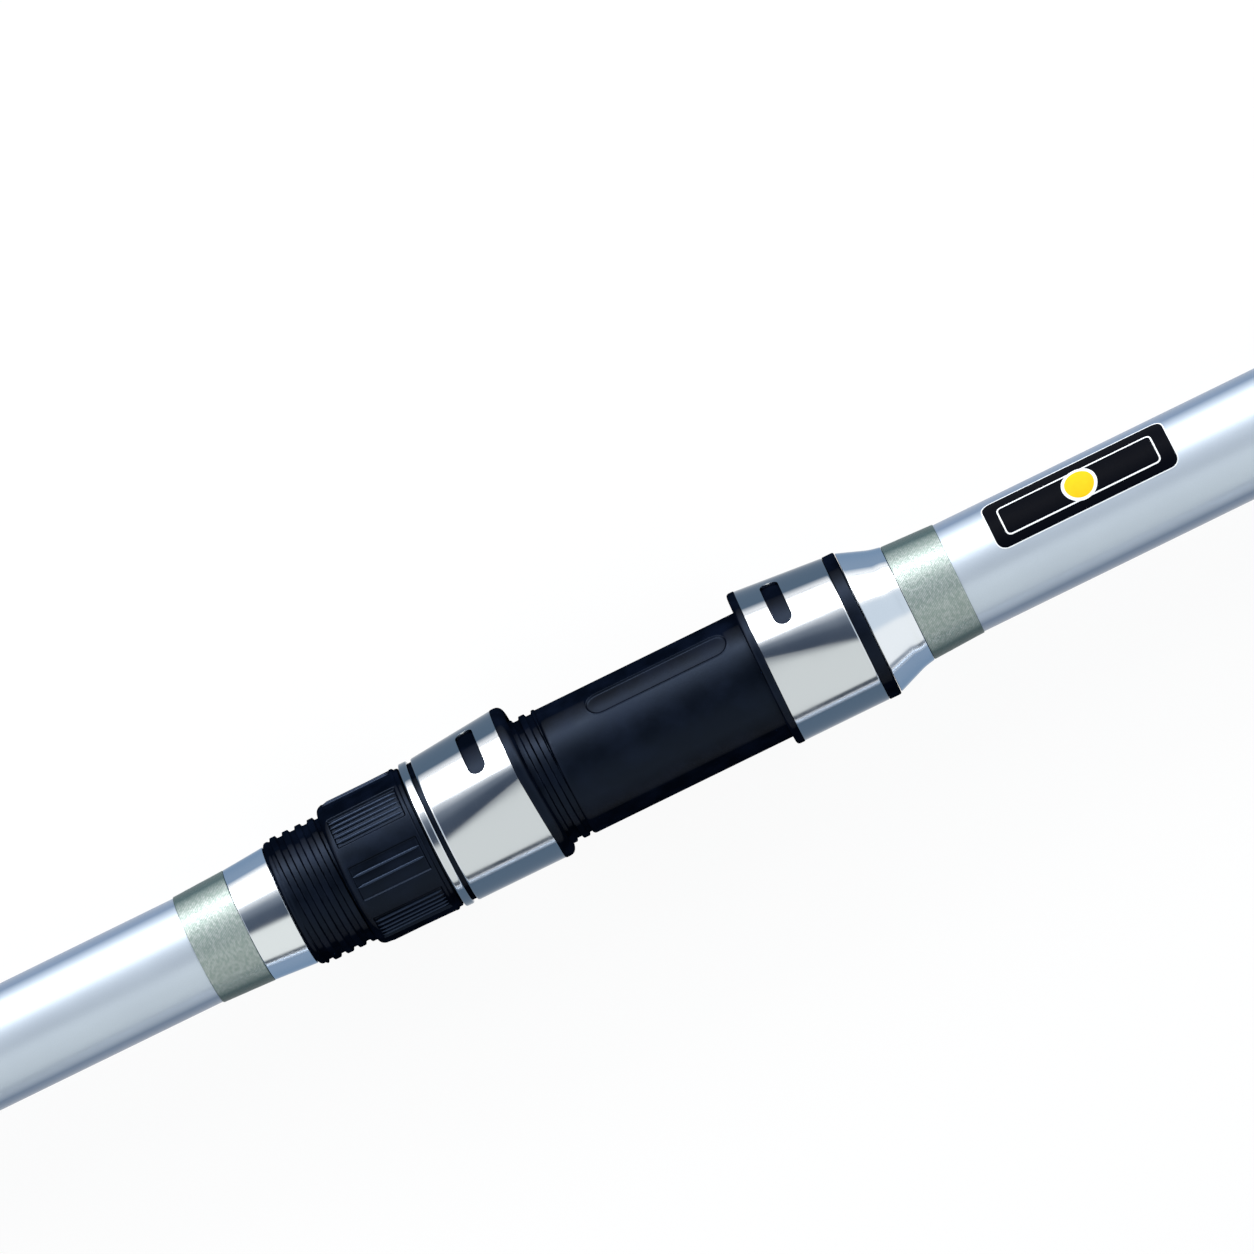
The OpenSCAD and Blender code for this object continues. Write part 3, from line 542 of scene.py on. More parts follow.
def black_nylon():
    """The seat, the nut's body and the hood liners as they come from the mould."""
    return nylon("Nylon, moulded satin", 0.3, chosen("black"))


def rib_nylon_painted_highlight():
    """The nut's ribs: glossier, and a little lighter, a painted highlight that shows them as light lines."""
    # The lighter tone #171f2e is a painted highlight on the ribs
    return nylon("Nylon, rubbed", 0.75, linear("#171f2e"))


@cache
def wound_thread(section, light, dark, edge, turn_mm, name):
    """Metallic thread wound turn by turn and flooded with clear epoxy, whose skin stays a little lumpy."""
    material, tree, shader, coords = start_material(name, {
        "Metallic": 0.46, "Roughness": 0.36, "Coat Roughness": 0.07, "Coat IOR": 1.55,
        "Specular Tint": linear("#7b908f")})
    turns = add(tree, "ShaderNodeTexWave", {
        "Vector": on_axis(tree, coords, section), "Scale": per_mm(turn_mm) * 2 * math.pi / WAVE_STEP,
        "Distortion": 0.5, "Detail": 1.0},
        wave_type="BANDS", bands_direction="X", wave_profile="SIN").outputs["Fac"]
    beads = noise(tree, coords, 0.4, 3, 0.55)
    # Darker between the turns of thread: painted shade in the grooves
    tone = blend(tree, light, dark, turns, 0.1, 0.9, 0.6, 0)
    face = blend(tree, tone, dark, beads, 0.4, 0.62, 0.55, 0)
    lumps = add(tree, "ShaderNodeTexVoronoi", {"Vector": coords, "Scale": per_mm(0.9)},
                feature="SMOOTH_F1").outputs["Distance"]
    feed(tree, shader, {
        # Base colour turns to the edge colour towards the outline: painted reflection
        "Base Color": blend(tree, face, edge, facing(tree), 0.24, 0.55),
        "Coat Weight": ranged(tree, facing(tree), 0.25, 0.5, 0.38, 0.02),
        "Normal": bump(tree, beads, 0.09, 0.8, Normal=bump(tree, turns, 0.04, 0.5)),
        "Coat Normal": bump(tree, lumps, 0.1, 0.6)})
    return material


def green_thread(section):
    """The grey-green thread of most wraps."""
    return wound_thread(section, chosen("thread"), chosen("thread_groove_shade_and_mottle"), chosen("thread_edge_painted_reflection"), sizes().turn,
                        "Metallic thread under epoxy, " + section.body)


def dark_thread(section):
    """The dark thread of the upper wraps."""
    # The last colour, #262329, is a painted reflection towards the outline
    # The middle colour, #37323a, is painted shade between the turns and also random mottle
    return wound_thread(section, linear("#6d656b"), linear("#37323a"), linear("#262329"), sizes().turn,
                        "Dark thread under epoxy, " + section.body)


@cache
def silver_mesh():
    """Fine metal mesh laid round the blank under clear epoxy: a tight silver lattice."""
    material, tree, shader, coords = start_material("Metal mesh under epoxy", {
        "Metallic": 0.7, "Roughness": 0.35, "Coat Weight": 0.7, "Coat Roughness": 0.05})
    phases = weave(tree, coords, MID, 1.1, 52)
    waves = [maths(tree, "SINE", maths(tree, way, *phases)) for way in ("ADD", "SUBTRACT")]
    wires = maths(tree, "MAXIMUM", *waves)
    feed(tree, shader, {
        "Base Color": blend(tree, linear("#5d646d"), linear("#cfd4da"), wires, 0.2, 0.9),
        "Normal": bump(tree, wires, 0.05, 0.6)})
    return material


@cache
def moulded_rubber():
    """Natural rubber, moulded: soft dark gloss, with the fine scuffs of a cap that stands on the ground."""
    material, tree, shader, coords = start_material("Rubber, moulded", {"Roughness": 0.55})
    scuffs = noise(tree, coords, 1.5, 6)
    feed(tree, shader, {
        "Base Color": blend(tree, chosen("rubber"), linear("#4b4c54"), scuffs, 0.45, 0.75, 0, 0.6),
        "Roughness": ranged(tree, scuffs, 0.3, 0.7, 0.5, 0.65),
        "Normal": bump(tree, scuffs, 0.03, 0.3)})
    return material


@cache
def grip_sleeve():
    """Heat-shrunk sleeve with a fine cross-woven grain: satin and dark."""
    material, tree, shader, coords = start_material("Shrink sleeve, textured", {"Roughness": 0.5})
    waves = [maths(tree, "SINE", phase) for phase in weave(tree, coords, BUTT, 1.6, 44)]
    knots = maths(tree, "MULTIPLY", *waves)
    feed(tree, shader, {
        "Base Color": blend(tree, chosen("grip"), linear("#3a3e4a"), knots, -1, 1),
        "Normal": bump(tree, knots, 0.08, 0.6)})
    return material


@cache
def bare_carbon():
    """Carbon tube, ground to size: matte, with fine rings from the grinding wheel."""
    material, tree, shader, coords = start_material("Carbon, ground", {"Roughness": 0.6})
    rings = noise(tree, coords, 0.5, 3, 0.08)
    feed(tree, shader, {
        "Base Color": blend(tree, chosen("spigot"), linear("#4d515e"), rings, 0.35, 0.65),
        "Normal": bump(tree, rings, 0.02, 0.4)})
    return material


@cache
def guide_steel():
    """Stainless steel, stamped and tumbled: bright, a little softer than the hoods."""
    material, tree, shader, coords = start_material("Stainless steel, tumbled", {
        "Metallic": 1.0, "Base Color": linear("#c9ced4")})
    wear = noise(tree, coords, 1.2, 4)
    feed(tree, shader, {
        "Roughness": ranged(tree, wear, 0.3, 0.7, 0.12, 0.26), "Normal": bump(tree, wear, 0.01, 0.3)})
    return material


@cache
def ceramic():
    """Alumina ring, sintered and polished: dark grey with a glassy gloss."""
    material, tree, shader, coords = start_material("Alumina, polished", {
        "Roughness": 0.12, "Coat Weight": 0.4, "Coat Roughness": 0.03})
    specks = noise(tree, coords, 0.4, 3)
    feed(tree, shader, {"Base Color": blend(tree, linear("#2c3038"), linear("#3d424b"), specks, 0.4, 0.7)})
    return material


@cache
def print_film(name, hex_value):
    """Vinyl film, screen printed: flat colour under a thin gloss."""
    material, tree, shader, coords = start_material("Vinyl film, " + name, {
        "Roughness": 0.4, "Specular IOR Level": 0.02})
    mottle = noise(tree, coords, 1.5, 2)
    ink = linear(hex_value)
    feed(tree, shader, {"Base Color": blend(tree, ink, darker(tree, ink, 0.9), mottle, 0.4, 0.7, 0, 0.5)})
    return material


# Butt section

BUTT_WALL = 1.9
BUTT_LEN = 1572
SEAT_X = 646
SEAT_END = 766.85
NUT_X = 658.4
THRUST_X = 675.75
COVER_X = 678.05
COVER_LEN = 17.8
FIXED_END = 764.4
# Bore of most rings and bands on the butt blank
BAND_BORE = 10.6


class SURFROD_OT_butt_blank(bpy.types.Operator):
    """Make the painted butt blank with its socket"""

    bl_idname = "surfrod.butt_blank"
    bl_label = "Butt blank"

    def execute(self, context):
        socket_r, socket_floor = 9.05, 1452
        outer = BUTT_SHAPE[:-1]
        mouth = softened([(BUTT_LEN - 1, 10.7005), (BUTT_LEN, 10.7, 0.25), (BUTT_LEN, socket_r, 0.3),
                          (BUTT_LEN - 1, socket_r)])
        step = [(socket_floor, socket_r), (socket_floor, 8.8)]
        inner = [(x, r - BUTT_WALL) for x, r in reversed(outer)]
        lathe("blank_butt", outer + mouth + step + inner, BUTT, lacquer(), "blank", "butt_blank", 192)
        return {"FINISHED"}


class SURFROD_OT_butt_end(bpy.types.Operator):
    """Make the end cap, the flared ring and the grip"""

    bl_idname = "surfrod.butt_end"
    bl_label = "Butt end"

    def execute(self, context):
        ball = 14
        plug = softened([(16.2, ball), (17, ball, 0.3), (17, 8.55), (43, 8.55, 0.6), (43, 0)])
        lathe("end_cap", nose(ball, ball, 24) + plug, BUTT, moulded_rubber(), "rubber", "butt_end_cap")
        bore, first, last = 10.55, 17.15, 39.85
        flare = [(first + 1.4 + (last - first - 4.2) * t, 11.75 + 2.25 * (1 - t) ** 1.5)
                 for t in np.linspace(0, 1, 16)]
        ring = (softened([(first, bore), (first, 14.05, 0.5), (first + 1.1, 14.05, 0.4)]) + flare
                + softened([(last - 2.3, 11.72, 0.2), (last - 2.1, 12.05, 0.35), (last - 0.5, 12.05, 0.35),
                            (last, 11.7, 0.2), (last, bore)]))
        lathe("flare_ring", ring, BUTT, polished_steel(), "polished", "butt_flare_ring")
        sleeve = hoop(bore, (40, 11.2, 0.3), (171, 11.2, 0.5))
        lathe("grip_sleeve", sleeve, BUTT, grip_sleeve(), "grip", "butt_grip")
        return {"FINISHED"}


@cache
def epoxy_tree():
    """Geometry Nodes that lift a wrap's surface in low lumps, as brushed epoxy sets."""
    tree, given = geometry_tree("Epoxy coat", {
        "Geometry": "Geometry", "Lump height": "Float", "Material": "Material"})
    lumps = noise(tree, add(tree, "GeometryNodeInputPosition").outputs[0], 2.2, 2)
    push = add(tree, "ShaderNodeVectorMath", {
        0: add(tree, "GeometryNodeInputNormal").outputs[0],
        "Scale": maths(tree, "MULTIPLY", lumps, given["Lump height"])}, operation="SCALE").outputs[0]
    lifted = add(tree, "GeometryNodeSetPosition", {"Geometry": given["Geometry"], "Offset": push}).outputs[0]
    return close_tree(tree, lifted, given["Material"])


def lumpy_wrap(name, section, shape, x, run, high, high_end, bend, material, slot, node, around=128):
    """A thread wrap whose epoxy coat is drawn up in low lumps by Geometry Nodes."""
    outline = band_outline(shape, x, run, high, high_end, bend)
    top = [p for p in outline if p[1] > radius_at(shape, p[0]) + 0.01]
    first, last = top[:CORNER_STEPS + 1], top[CORNER_STEPS + 1:]
    between = np.linspace(first[-1], last[0], max(8, int(run / 0.45)))[1:-1]
    obj = turned(name, section, [outline[0], *first, *between, *last, outline[-1]], around)
    run_tree(obj, epoxy_tree(), {"Lump height": 0.045 * MM, "Material": material})
    place(smooth(obj, 60), section, material, slot, node)


class SURFROD_OT_butt_trims(bpy.types.Operator):
    """Make the wraps, cones and rings on the butt blank"""

    bl_idname = "surfrod.butt_trims"
    bl_label = "Butt trims"

    def execute(self, context):
        green, steel, aluminium = green_thread(BUTT), polished_steel(), polished_aluminium()
        for name, x, high, high_end, node in (("wrap_rear", 627.1, 0.18, 0.6, "rear_wrap"),
                                              ("wrap_front", 775.2, 0.62, 0.14, "front_wrap")):
            lumpy_wrap(name, BUTT, BUTT_SHAPE, x, 10.6, high, high_end, 0.25, green, "thread_wrap", node,
                       192)
        lumpy_wrap("wrap_top", BUTT, BUTT_SHAPE, 1436, 43, 0.7, 0.7, 0.4, dark_thread(BUTT), "dark_wrap",
                   "top_wrap")
        trim = hoop(BAND_BORE, (1479.05, 11.35, 0.3), (1481.05, 11.35, 0.3))
        lathe("trim_ring", trim, BUTT, steel, "polished", "top_trim_ring")
        mouth = hoop(BAND_BORE, (BUTT_LEN - 20, 11.15, 0.2), (BUTT_LEN, 11.15, 0.25))
        lathe("socket_ring_butt", mouth, BUTT, steel, "polished", "butt_socket_ring")
        rear = hoop(10.85, (637.75, 11.4, 0.15), (646.3, 12.05, 0.2))
        lathe("cone_rear", rear, BUTT, aluminium, "polished", "rear_cone", 192)
        front = hoop(11.1, (767, 14.4, 0.25), (773, 12.15, 0.9), (775.15, 11.72, 0.1))
        lathe("cone_front", front, BUTT, aluminium, "polished", "front_cone", 192)
        return {"FINISHED"}


# Reel seat

SEAT_BORE = 11.35
THREAD_LEN = 57.6
# A crest of the thread is straight up at this place
THREAD_PHASE = 6.05
# The thread's roots and its flanks, as shares of a wave's height
ROOT_SHARE, FLANK_SHARE = 0.3, 0.36
STEPS_PER_TURN = 26
# The seat's lower end is turned down, and a low collar stands before the thread
END_LONG, END_DEEP = 0.8, 0.8
COLLAR_HIGH, COLLAR_FROM, COLLAR_TO = 0.22, 1.4, 1.9
KEYWAY_HALF, KEYWAY_FLOOR, KEYWAY_FROM = 1.6, 12.0, 6.5
SLEEVE_R = 13.03
# The sleeve has a flat under the reel foot
BED_R = 12.7
RECESS_FROM, RECESS_TO, RECESS_HALF, RECESS_DEEP = 66.75, 95.8, 2.5, 0.35

# A slot or recess in a sheet: its middle, the half length of its middle line along and round the rod, its
# half width, the box of grid cells that it takes up, rings round it as offset and depth, and shares of the
# half width at which its floor has rows
Stadium = namedtuple("Stadium", "centre reach half_wide box rings fill", defaults=((),))


def sheet_points(xs, ss, stadium, surface):
    """A grid sheet with one slot or recess: its points, its faces and the numbers of the grid's points.

    The plane is place along the rod and distance round it; surface(place, distance, depth) gives the points.
    """
    i0, i1, j0, j1 = stadium.box
    cells = [(i, j0) for i in range(i0, i1)] + [(i1, j) for j in range(j0, j1)]
    cells += [(i, j1) for i in range(i1, i0, -1)] + [(i0, j) for j in range(j1, j0, -1)]
    edge = np.array([(xs[i], ss[j]) for i, j in cells])
    spine = np.clip(edge, np.subtract(stadium.centre, stadium.reach), np.add(stadium.centre, stadium.reach))
    way = edge - spine
    way /= np.linalg.norm(way, axis=1)[:, None]
    outline = spine + way * stadium.half_wide
    outermost = outline + way * stadium.rings[0][0]
    rows = [(edge + (outermost - edge) * t, 0.0) for t in (0.4, 0.75)]
    rows += [(outline + way * offset, depth) for offset, depth in stadium.rings]
    rows += [(spine + way * stadium.half_wide * t, stadium.rings[-1][1]) for t in stadium.fill]
    index = np.arange(len(xs) * len(ss)).reshape(len(xs), len(ss))
    faces = [[index[i, j], index[i, j + 1], index[i + 1, j + 1], index[i + 1, j]]
             for i in range(len(xs) - 1) for j in range(len(ss) - 1)
             if not (i0 <= i < i1 and j0 <= j < j1)]
    flat = [np.array([(x, s, 0.0) for x in xs for s in ss])]
    around, total = len(cells), index.size
    previous = [index[cell] for cell in cells]
    for row, depth in rows:
        new = total + np.arange(around)
        total += around
        flat.append(np.column_stack([row, np.full(around, depth)]))
        for k in range(around):
            n = (k + 1) % around
            faces.append([previous[k], new[k], new[n], previous[n]])
        previous = new
    return surface(*np.concatenate(flat).T), faces, index


class SURFROD_OT_seat(bpy.types.Operator):
    """Make the reel seat: thread, keyway, smooth sleeve and recess"""

    bl_idname = "surfrod.seat"
    bl_label = "Reel seat"

    def execute(self, context):
        for part in (self.thread(sizes()), self.sleeve()):
            place(part, BUTT, black_nylon(), "seat_plastic", "seat_body")
        return {"FINISHED"}

    def angles(self):
        """Angles round the seat, closer at the keyway on its lower side."""
        base = np.linspace(-math.pi, math.pi, 120, endpoint=False)
        key = math.asin(KEYWAY_HALF / 12.4)
        near = [side * (math.pi - key - gap) for side in (1, -1) for gap in (-0.004, 0.004)]
        return np.unique(np.round(np.concatenate([base, near]), 5))

    def thread(self, s):
        """The threaded part: a helix that starts behind a collar and stops before the sleeve."""
        angles = self.angles()
        lead = [0.4, 0.45, 0.55, 0.7, 0.9, 1.15]
        steps = int(THREAD_LEN / s.pitch * STEPS_PER_TURN)
        us = np.concatenate([lead, np.linspace(1.35, THREAD_LEN, steps)])
        u, a = np.meshgrid(us, angles, indexing="ij")
        wave = 0.5 + 0.5 * np.cos(2 * math.pi * ((u - THREAD_PHASE) / s.pitch + a / (2 * math.pi)))
        crest = ease((wave - ROOT_SHARE) / FLANK_SHARE) * within(u, 1.2, THREAD_LEN + 0.2, 0.9, 0.5)
        radii = s.root_r + (s.crest_r - s.root_r) * crest
        collar = s.root_r + COLLAR_HIGH * (1 - ease((u - COLLAR_FROM) / (COLLAR_TO - COLLAR_FROM)))
        radii = np.maximum(radii, np.where(u < COLLAR_TO, collar, 0))
        radii -= END_DEEP * np.clip(1 - (u - lead[0]) / END_LONG, 0, 1) ** 2.5
        keyway = (np.abs(np.sin(a)) * radii < KEYWAY_HALF) & (np.cos(a) < 0) & (u > KEYWAY_FROM)
        radii = np.where(keyway, np.minimum(radii, KEYWAY_FLOOR / np.maximum(-np.cos(a), 0.5)), radii)
        return grid_tube("seat_thread", BUTT, SEAT_X + us, angles, radii, SEAT_BORE, 50)

    def sleeve(self):
        """The smooth sleeve with its flat bed under the reel foot and its shallow recess."""
        r, first = SLEEVE_R, SEAT_X + 57.5
        start = first + np.array([0, 0.1, 0.25, 0.5])
        xs = np.concatenate([start, np.arange(first + 1.5, SEAT_END, 1.0), [SEAT_END]])
        ss = np.linspace(-math.pi * r, math.pi * r, 145)
        centre = (SEAT_X + (RECESS_FROM + RECESS_TO) / 2, math.radians(43) * r)
        box = [int(np.searchsorted(xs, SEAT_X + u)) for u in (RECESS_FROM - 0.95, RECESS_TO + 1)]
        box += [int(np.searchsorted(ss, centre[1] + side * 3.3)) for side in (-1, 1)]
        rings = [(0.3, 0.0), (0.14, -0.03), (0.04, -0.05), (-0.05, 0.0), (-0.16, 0.22), (-0.3, 0.33),
                 (-0.5, RECESS_DEEP)]
        reach = ((RECESS_TO - RECESS_FROM) / 2 - RECESS_HALF, 0)

        def surface(x, s, depth):
            a = s / r
            radii = r - depth - 0.35 * np.clip(1 - (x - first) / 0.5, 0, 1) ** 2
            bed = np.cos(a - math.pi / 2)
            radii = np.where(bed > 0.9, np.minimum(radii, BED_R / np.maximum(bed, 0.5)), radii)
            return round_points(x, radii, a)

        recess = Stadium(centre, reach, RECESS_HALF, box, rings, (0.5, 0.2, 0))
        points, faces, index = sheet_points(xs, ss, recess, surface)
        inside = len(points) + np.arange(2 * len(ss)).reshape(2, -1)
        bore = [round_points(x, SEAT_BORE, ss / r) for x in (first, SEAT_END)]
        loops = [index[0], *inside, index[-1]]
        faces += [[a[j], a[j + 1], b[j + 1], b[j]]
                  for a, b in zip(loops, loops[1:]) for j in range(len(ss) - 1)]
        obj = make_object("seat_sleeve", np.concatenate([points, *bore]), faces, BUTT)
        return smooth(tidy(obj, 0.002), 40)


# Lock nut

NUT_BORE = 13.08
ZONE_CENTRE = 37.15
ZONE_FROM, ZONE_TO = 1.35, 15.65
# A zone's floor is reached over this length
ZONE_RAMP = 0.35
# The ribs: radius over them, how much shorter than their zone they are, and their steps in degrees
RIB_TOP, RIB_SHORT = 14.5, 0.3
FINE_STEP, COARSE_STEP = 4.75, 8.9
# How far the coarse ribs stand off the middle of their zone
COARSE_OFF = 1.6
# The smooth panels between the zones: half their angle, the half width of their edges and places over these
PANEL_HALF, PANEL_SOFT = 8.75, 0.7
PANEL_EDGE = (-1.2, -PANEL_SOFT, -0.25, 0.2, 0.65, 1.2)
# Radius at places along the nut
NUT_SHAPE = [(0, 13.35), (0.12, 13.62), (0.3, 13.85), (0.55, 14.05), (0.85, 14.2), (1.2, 14.31), (1.6, 14.39),
             (2.1, 14.45), (15.9, 14.67), (16.1, 14.65), (16.25, 14.55), (16.35, 14.38), (16.42, 14.3),
             (16.9, 14.3), (17.1, 14.24), (17.2, 14.1)]


@cache
def rib_tree():
    """Geometry Nodes that set round-ended ribs in groups round an axis along X."""
    tree, given = geometry_tree("Nut ribs", {
        "Zones": "Int", "Ribs": "Int", "Step": "Float", "Centre": "Float", "Ring radius": "Float",
        "Rib radius": "Float", "Rib length": "Float", "Material": "Material"})

    step = partial(maths, tree)
    index = add(tree, "GeometryNodeInputIndex").outputs[0]
    zone = step("FLOOR", step("DIVIDE", index, given["Ribs"]))
    rib = step("SUBTRACT", index, step("MULTIPLY", zone, given["Ribs"]))
    middle = step("DIVIDE", step("SUBTRACT", given["Ribs"], 1), 2)
    swing = step("MULTIPLY", step("SUBTRACT", rib, middle), given["Step"])
    turn = step("DIVIDE", step("MULTIPLY", zone, 2 * math.pi), given["Zones"])
    angle = step("ADD", step("ADD", swing, turn), given["Centre"])
    spot = add(tree, "ShaderNodeCombineXYZ", {
        "Y": step("MULTIPLY", step("SINE", angle), given["Ring radius"]),
        "Z": step("MULTIPLY", step("COSINE", angle), given["Ring radius"])}).outputs[0]
    points = add(tree, "GeometryNodePoints", {
        "Count": step("MULTIPLY", given["Zones"], given["Ribs"]), "Position": spot}).outputs[0]
    ends = [add(tree, "ShaderNodeCombineXYZ", {"X": step("MULTIPLY", given["Rib length"], share)}).outputs[0]
            for share in (-0.5, 0.5)]
    line = add(tree, "GeometryNodeCurvePrimitiveLine", {"Start": ends[0], "End": ends[1]}).outputs[0]
    fine = add(tree, "GeometryNodeResampleCurve", {"Curve": line, "Count": 14}).outputs[0]
    along = add(tree, "GeometryNodeSplineParameter").outputs["Factor"]
    off = step("ABSOLUTE", step("SUBTRACT", step("MULTIPLY", along, 2), 1))
    thick = step("SQRT", step("MAXIMUM", step("SUBTRACT", 1, step("POWER", off, 24)), 0.02))
    ring = add(tree, "GeometryNodeCurvePrimitiveCircle", {
        "Resolution": 14, "Radius": given["Rib radius"]}).outputs[0]
    swept = add(tree, "GeometryNodeCurveToMesh", {
        "Curve": fine, "Profile Curve": ring, "Scale": thick, "Fill Caps": True}).outputs[0]
    placed = add(tree, "GeometryNodeInstanceOnPoints", {"Points": points, "Instance": swept}).outputs[0]
    return close_tree(tree, placed, given["Material"])


class SURFROD_OT_nut(bpy.types.Operator):
    """Make the lock nut with its gripping zones and ribs"""

    bl_idname = "surfrod.nut"
    bl_label = "Lock nut"

    def execute(self, context):
        s = sizes()
        place(self.body(s), NUT, black_nylon(), "seat_plastic", "lock_nut")
        self.ribs("nut_ribs_fine", s, s.ribs, FINE_STEP, ZONE_CENTRE)
        self.ribs("nut_ribs_coarse", s, 2, COARSE_STEP, ZONE_CENTRE + COARSE_OFF - 360 / s.zones)
        return {"FINISHED"}

    def body(self, s):
        """The nut's body: rounded ends, a groove before the upper one, and sunk zones between panels."""
        us = np.concatenate([
            [0, 0.12, 0.3, 0.55, 0.85, 1.2], np.linspace(ZONE_FROM, ZONE_FROM + ZONE_RAMP, 5), [2.1, 2.6],
            np.linspace(3.2, 14.9, 20), np.linspace(ZONE_TO - ZONE_RAMP, ZONE_TO, 5),
            [15.9, 16.1, 16.25, 16.35, 16.42, 16.5, 16.9, 17.1, 17.2]])
        pitch = 360 / s.zones
        edges = np.radians([ZONE_CENTRE + pitch / 2 + i * pitch + side * (PANEL_HALF + d)
                            for i in range(s.zones) for side in (-1, 1) for d in PANEL_EDGE])
        edges = (edges + math.pi) % (2 * math.pi) - math.pi
        base = np.linspace(-math.pi, math.pi, 160, endpoint=False)
        far = np.min(np.abs(base[:, None] - edges), axis=1) > 0.008
        angles = np.sort(np.concatenate([base[far], edges]))
        u, a = np.meshgrid(us, angles, indexing="ij")
        off_panel = np.abs((np.degrees(a) - ZONE_CENTRE) % pitch - pitch / 2)
        in_zone = ease((off_panel - PANEL_HALF + PANEL_SOFT) / (2 * PANEL_SOFT))
        along = within(u, ZONE_FROM, ZONE_TO, ZONE_RAMP, ZONE_RAMP)
        radii = radius_at(NUT_SHAPE, u) - s.zone_deep * in_zone * along
        return grid_tube("nut_body", NUT, NUT_X + us, angles, radii, NUT_BORE, 50)

    def ribs(self, name, s, ribs, step, centre):
        """The ribs of every second gripping zone: fine and coarse ones take turns."""
        obj = make_object(name, [(0, 0, 0)], [], NUT)
        run_tree(obj, rib_tree(), {
            "Zones": s.zones // 2, "Ribs": ribs, "Step": math.radians(step), "Centre": math.radians(centre),
            "Ring radius": (RIB_TOP - s.rib_r) * MM, "Rib radius": s.rib_r * MM,
            "Rib length": (ZONE_TO - ZONE_FROM - RIB_SHORT) * MM, "Material": rib_nylon_painted_highlight()})
        middle = (NUT_X + (ZONE_FROM + ZONE_TO) / 2) * MM
        obj.data.transform(Matrix.Translation((NUT.start_m + middle, NUT.y_m, NUT.z_m)))
        # The ribs' material carries a painted highlight: its lighter tone shows them as light lines
        place(smooth(tidy(obj), 60), NUT, rib_nylon_painted_highlight(), "seat_plastic", "lock_nut")


# Hoods

# The covers' round ends are turned down a little
LIP_LONG, LIP_DEEP = 0.35, 0.12
# Angles at which the mouth's section goes from its round to the facet, to the tight bend and to the arch
FACET_FROM, BEND_FROM, ARCH_FROM = -17, -7, 20
FACET_R = 40.0
# The slots' middle, as an angle, the half width of their box of cells and its margin at their ends
SLOT_ANGLE, SLOT_BOX, SLOT_MARGIN = 48.4, 2.7, 0.9
# The sheet's edges are rounded this much
SHEET_EDGE = 0.14
# Where a slanted mouth starts to run on, and over what length
SLANT_FROM, SLANT_RUN = 11, 6.8
# The room for the reel foot inside a hood
POCKET_HALF, POCKET_ROOF, POCKET_FLOOR = 7.75, 1.45, 6.0


def mouth_arcs(s):
    """Arcs of a hood's section at its mouth, as first angle, last angle and radius.

    The angle is that of the outward direction from straight up towards the reel foot. The lower part keeps
    the hood's round, a nearly flat facet and a tight bend follow, and a wide arch rises over the foot.
    """
    r = s.hood_r
    a0, a1, a2 = np.radians([FACET_FROM, BEND_FROM, ARCH_FROM])
    y1 = r * math.sin(a0) + FACET_R * (math.sin(a1) - math.sin(a0))
    z1 = r * math.cos(a0) + FACET_R * (math.cos(a1) - math.cos(a0))
    m = [[math.sin(a2) - math.sin(a1), 1 - math.sin(a2)], [math.cos(a2) - math.cos(a1), -math.cos(a2)]]
    bend_r, arch_r = np.linalg.solve(m, [r + s.hood_rise - y1, -z1])
    half = math.pi / 2
    return [(-half, a0, r), (a0, a1, FACET_R), (a1, a2, bend_r), (a2, half, arch_r)]


def mouth_point(arcs, angle):
    """Point of the mouth's section at an angle, as distance to the foot's side and up."""
    y, z = -arcs[0][2], 0.0
    for first, last, r in arcs:
        end = min(angle, last)
        y += r * (math.sin(end) - math.sin(first))
        z += r * (math.cos(end) - math.cos(first))
        if angle <= last:
            break
    return y, max(z, 0.0)


def hood_surface(s, x, angle, inset):
    """Points of the hood's surface: x runs from its round end, inset is the distance below the surface."""
    arcs = mouth_arcs(s)
    share = np.clip(np.asarray(x, float) / COVER_LEN, -0.2, 1.0)
    angle = np.round(angle, 7)
    table = {a: mouth_point(arcs, a) for a in np.unique(angle)}
    ym, zm = np.array([table[a] for a in angle]).T
    y = (1 - share) * s.hood_r * np.sin(angle) + share * ym - inset * np.sin(angle)
    z = (1 - share) * s.hood_r * np.cos(angle) + share * zm - inset * np.cos(angle)
    return y, z


def mouth_shift(slant, x, y):
    """How far a hood's mouth runs on along the rod, more towards the side away from the reel foot."""
    return slant * ease((x - SLANT_FROM) / SLANT_RUN) * np.clip((2.25 - y) / 12.4, 0, 1.1)


def unique_run(*runs):
    """Even runs of numbers, as first, last and count, put together without doubles."""
    return np.unique(np.round(np.concatenate([np.linspace(*run) for run in runs]), 4))


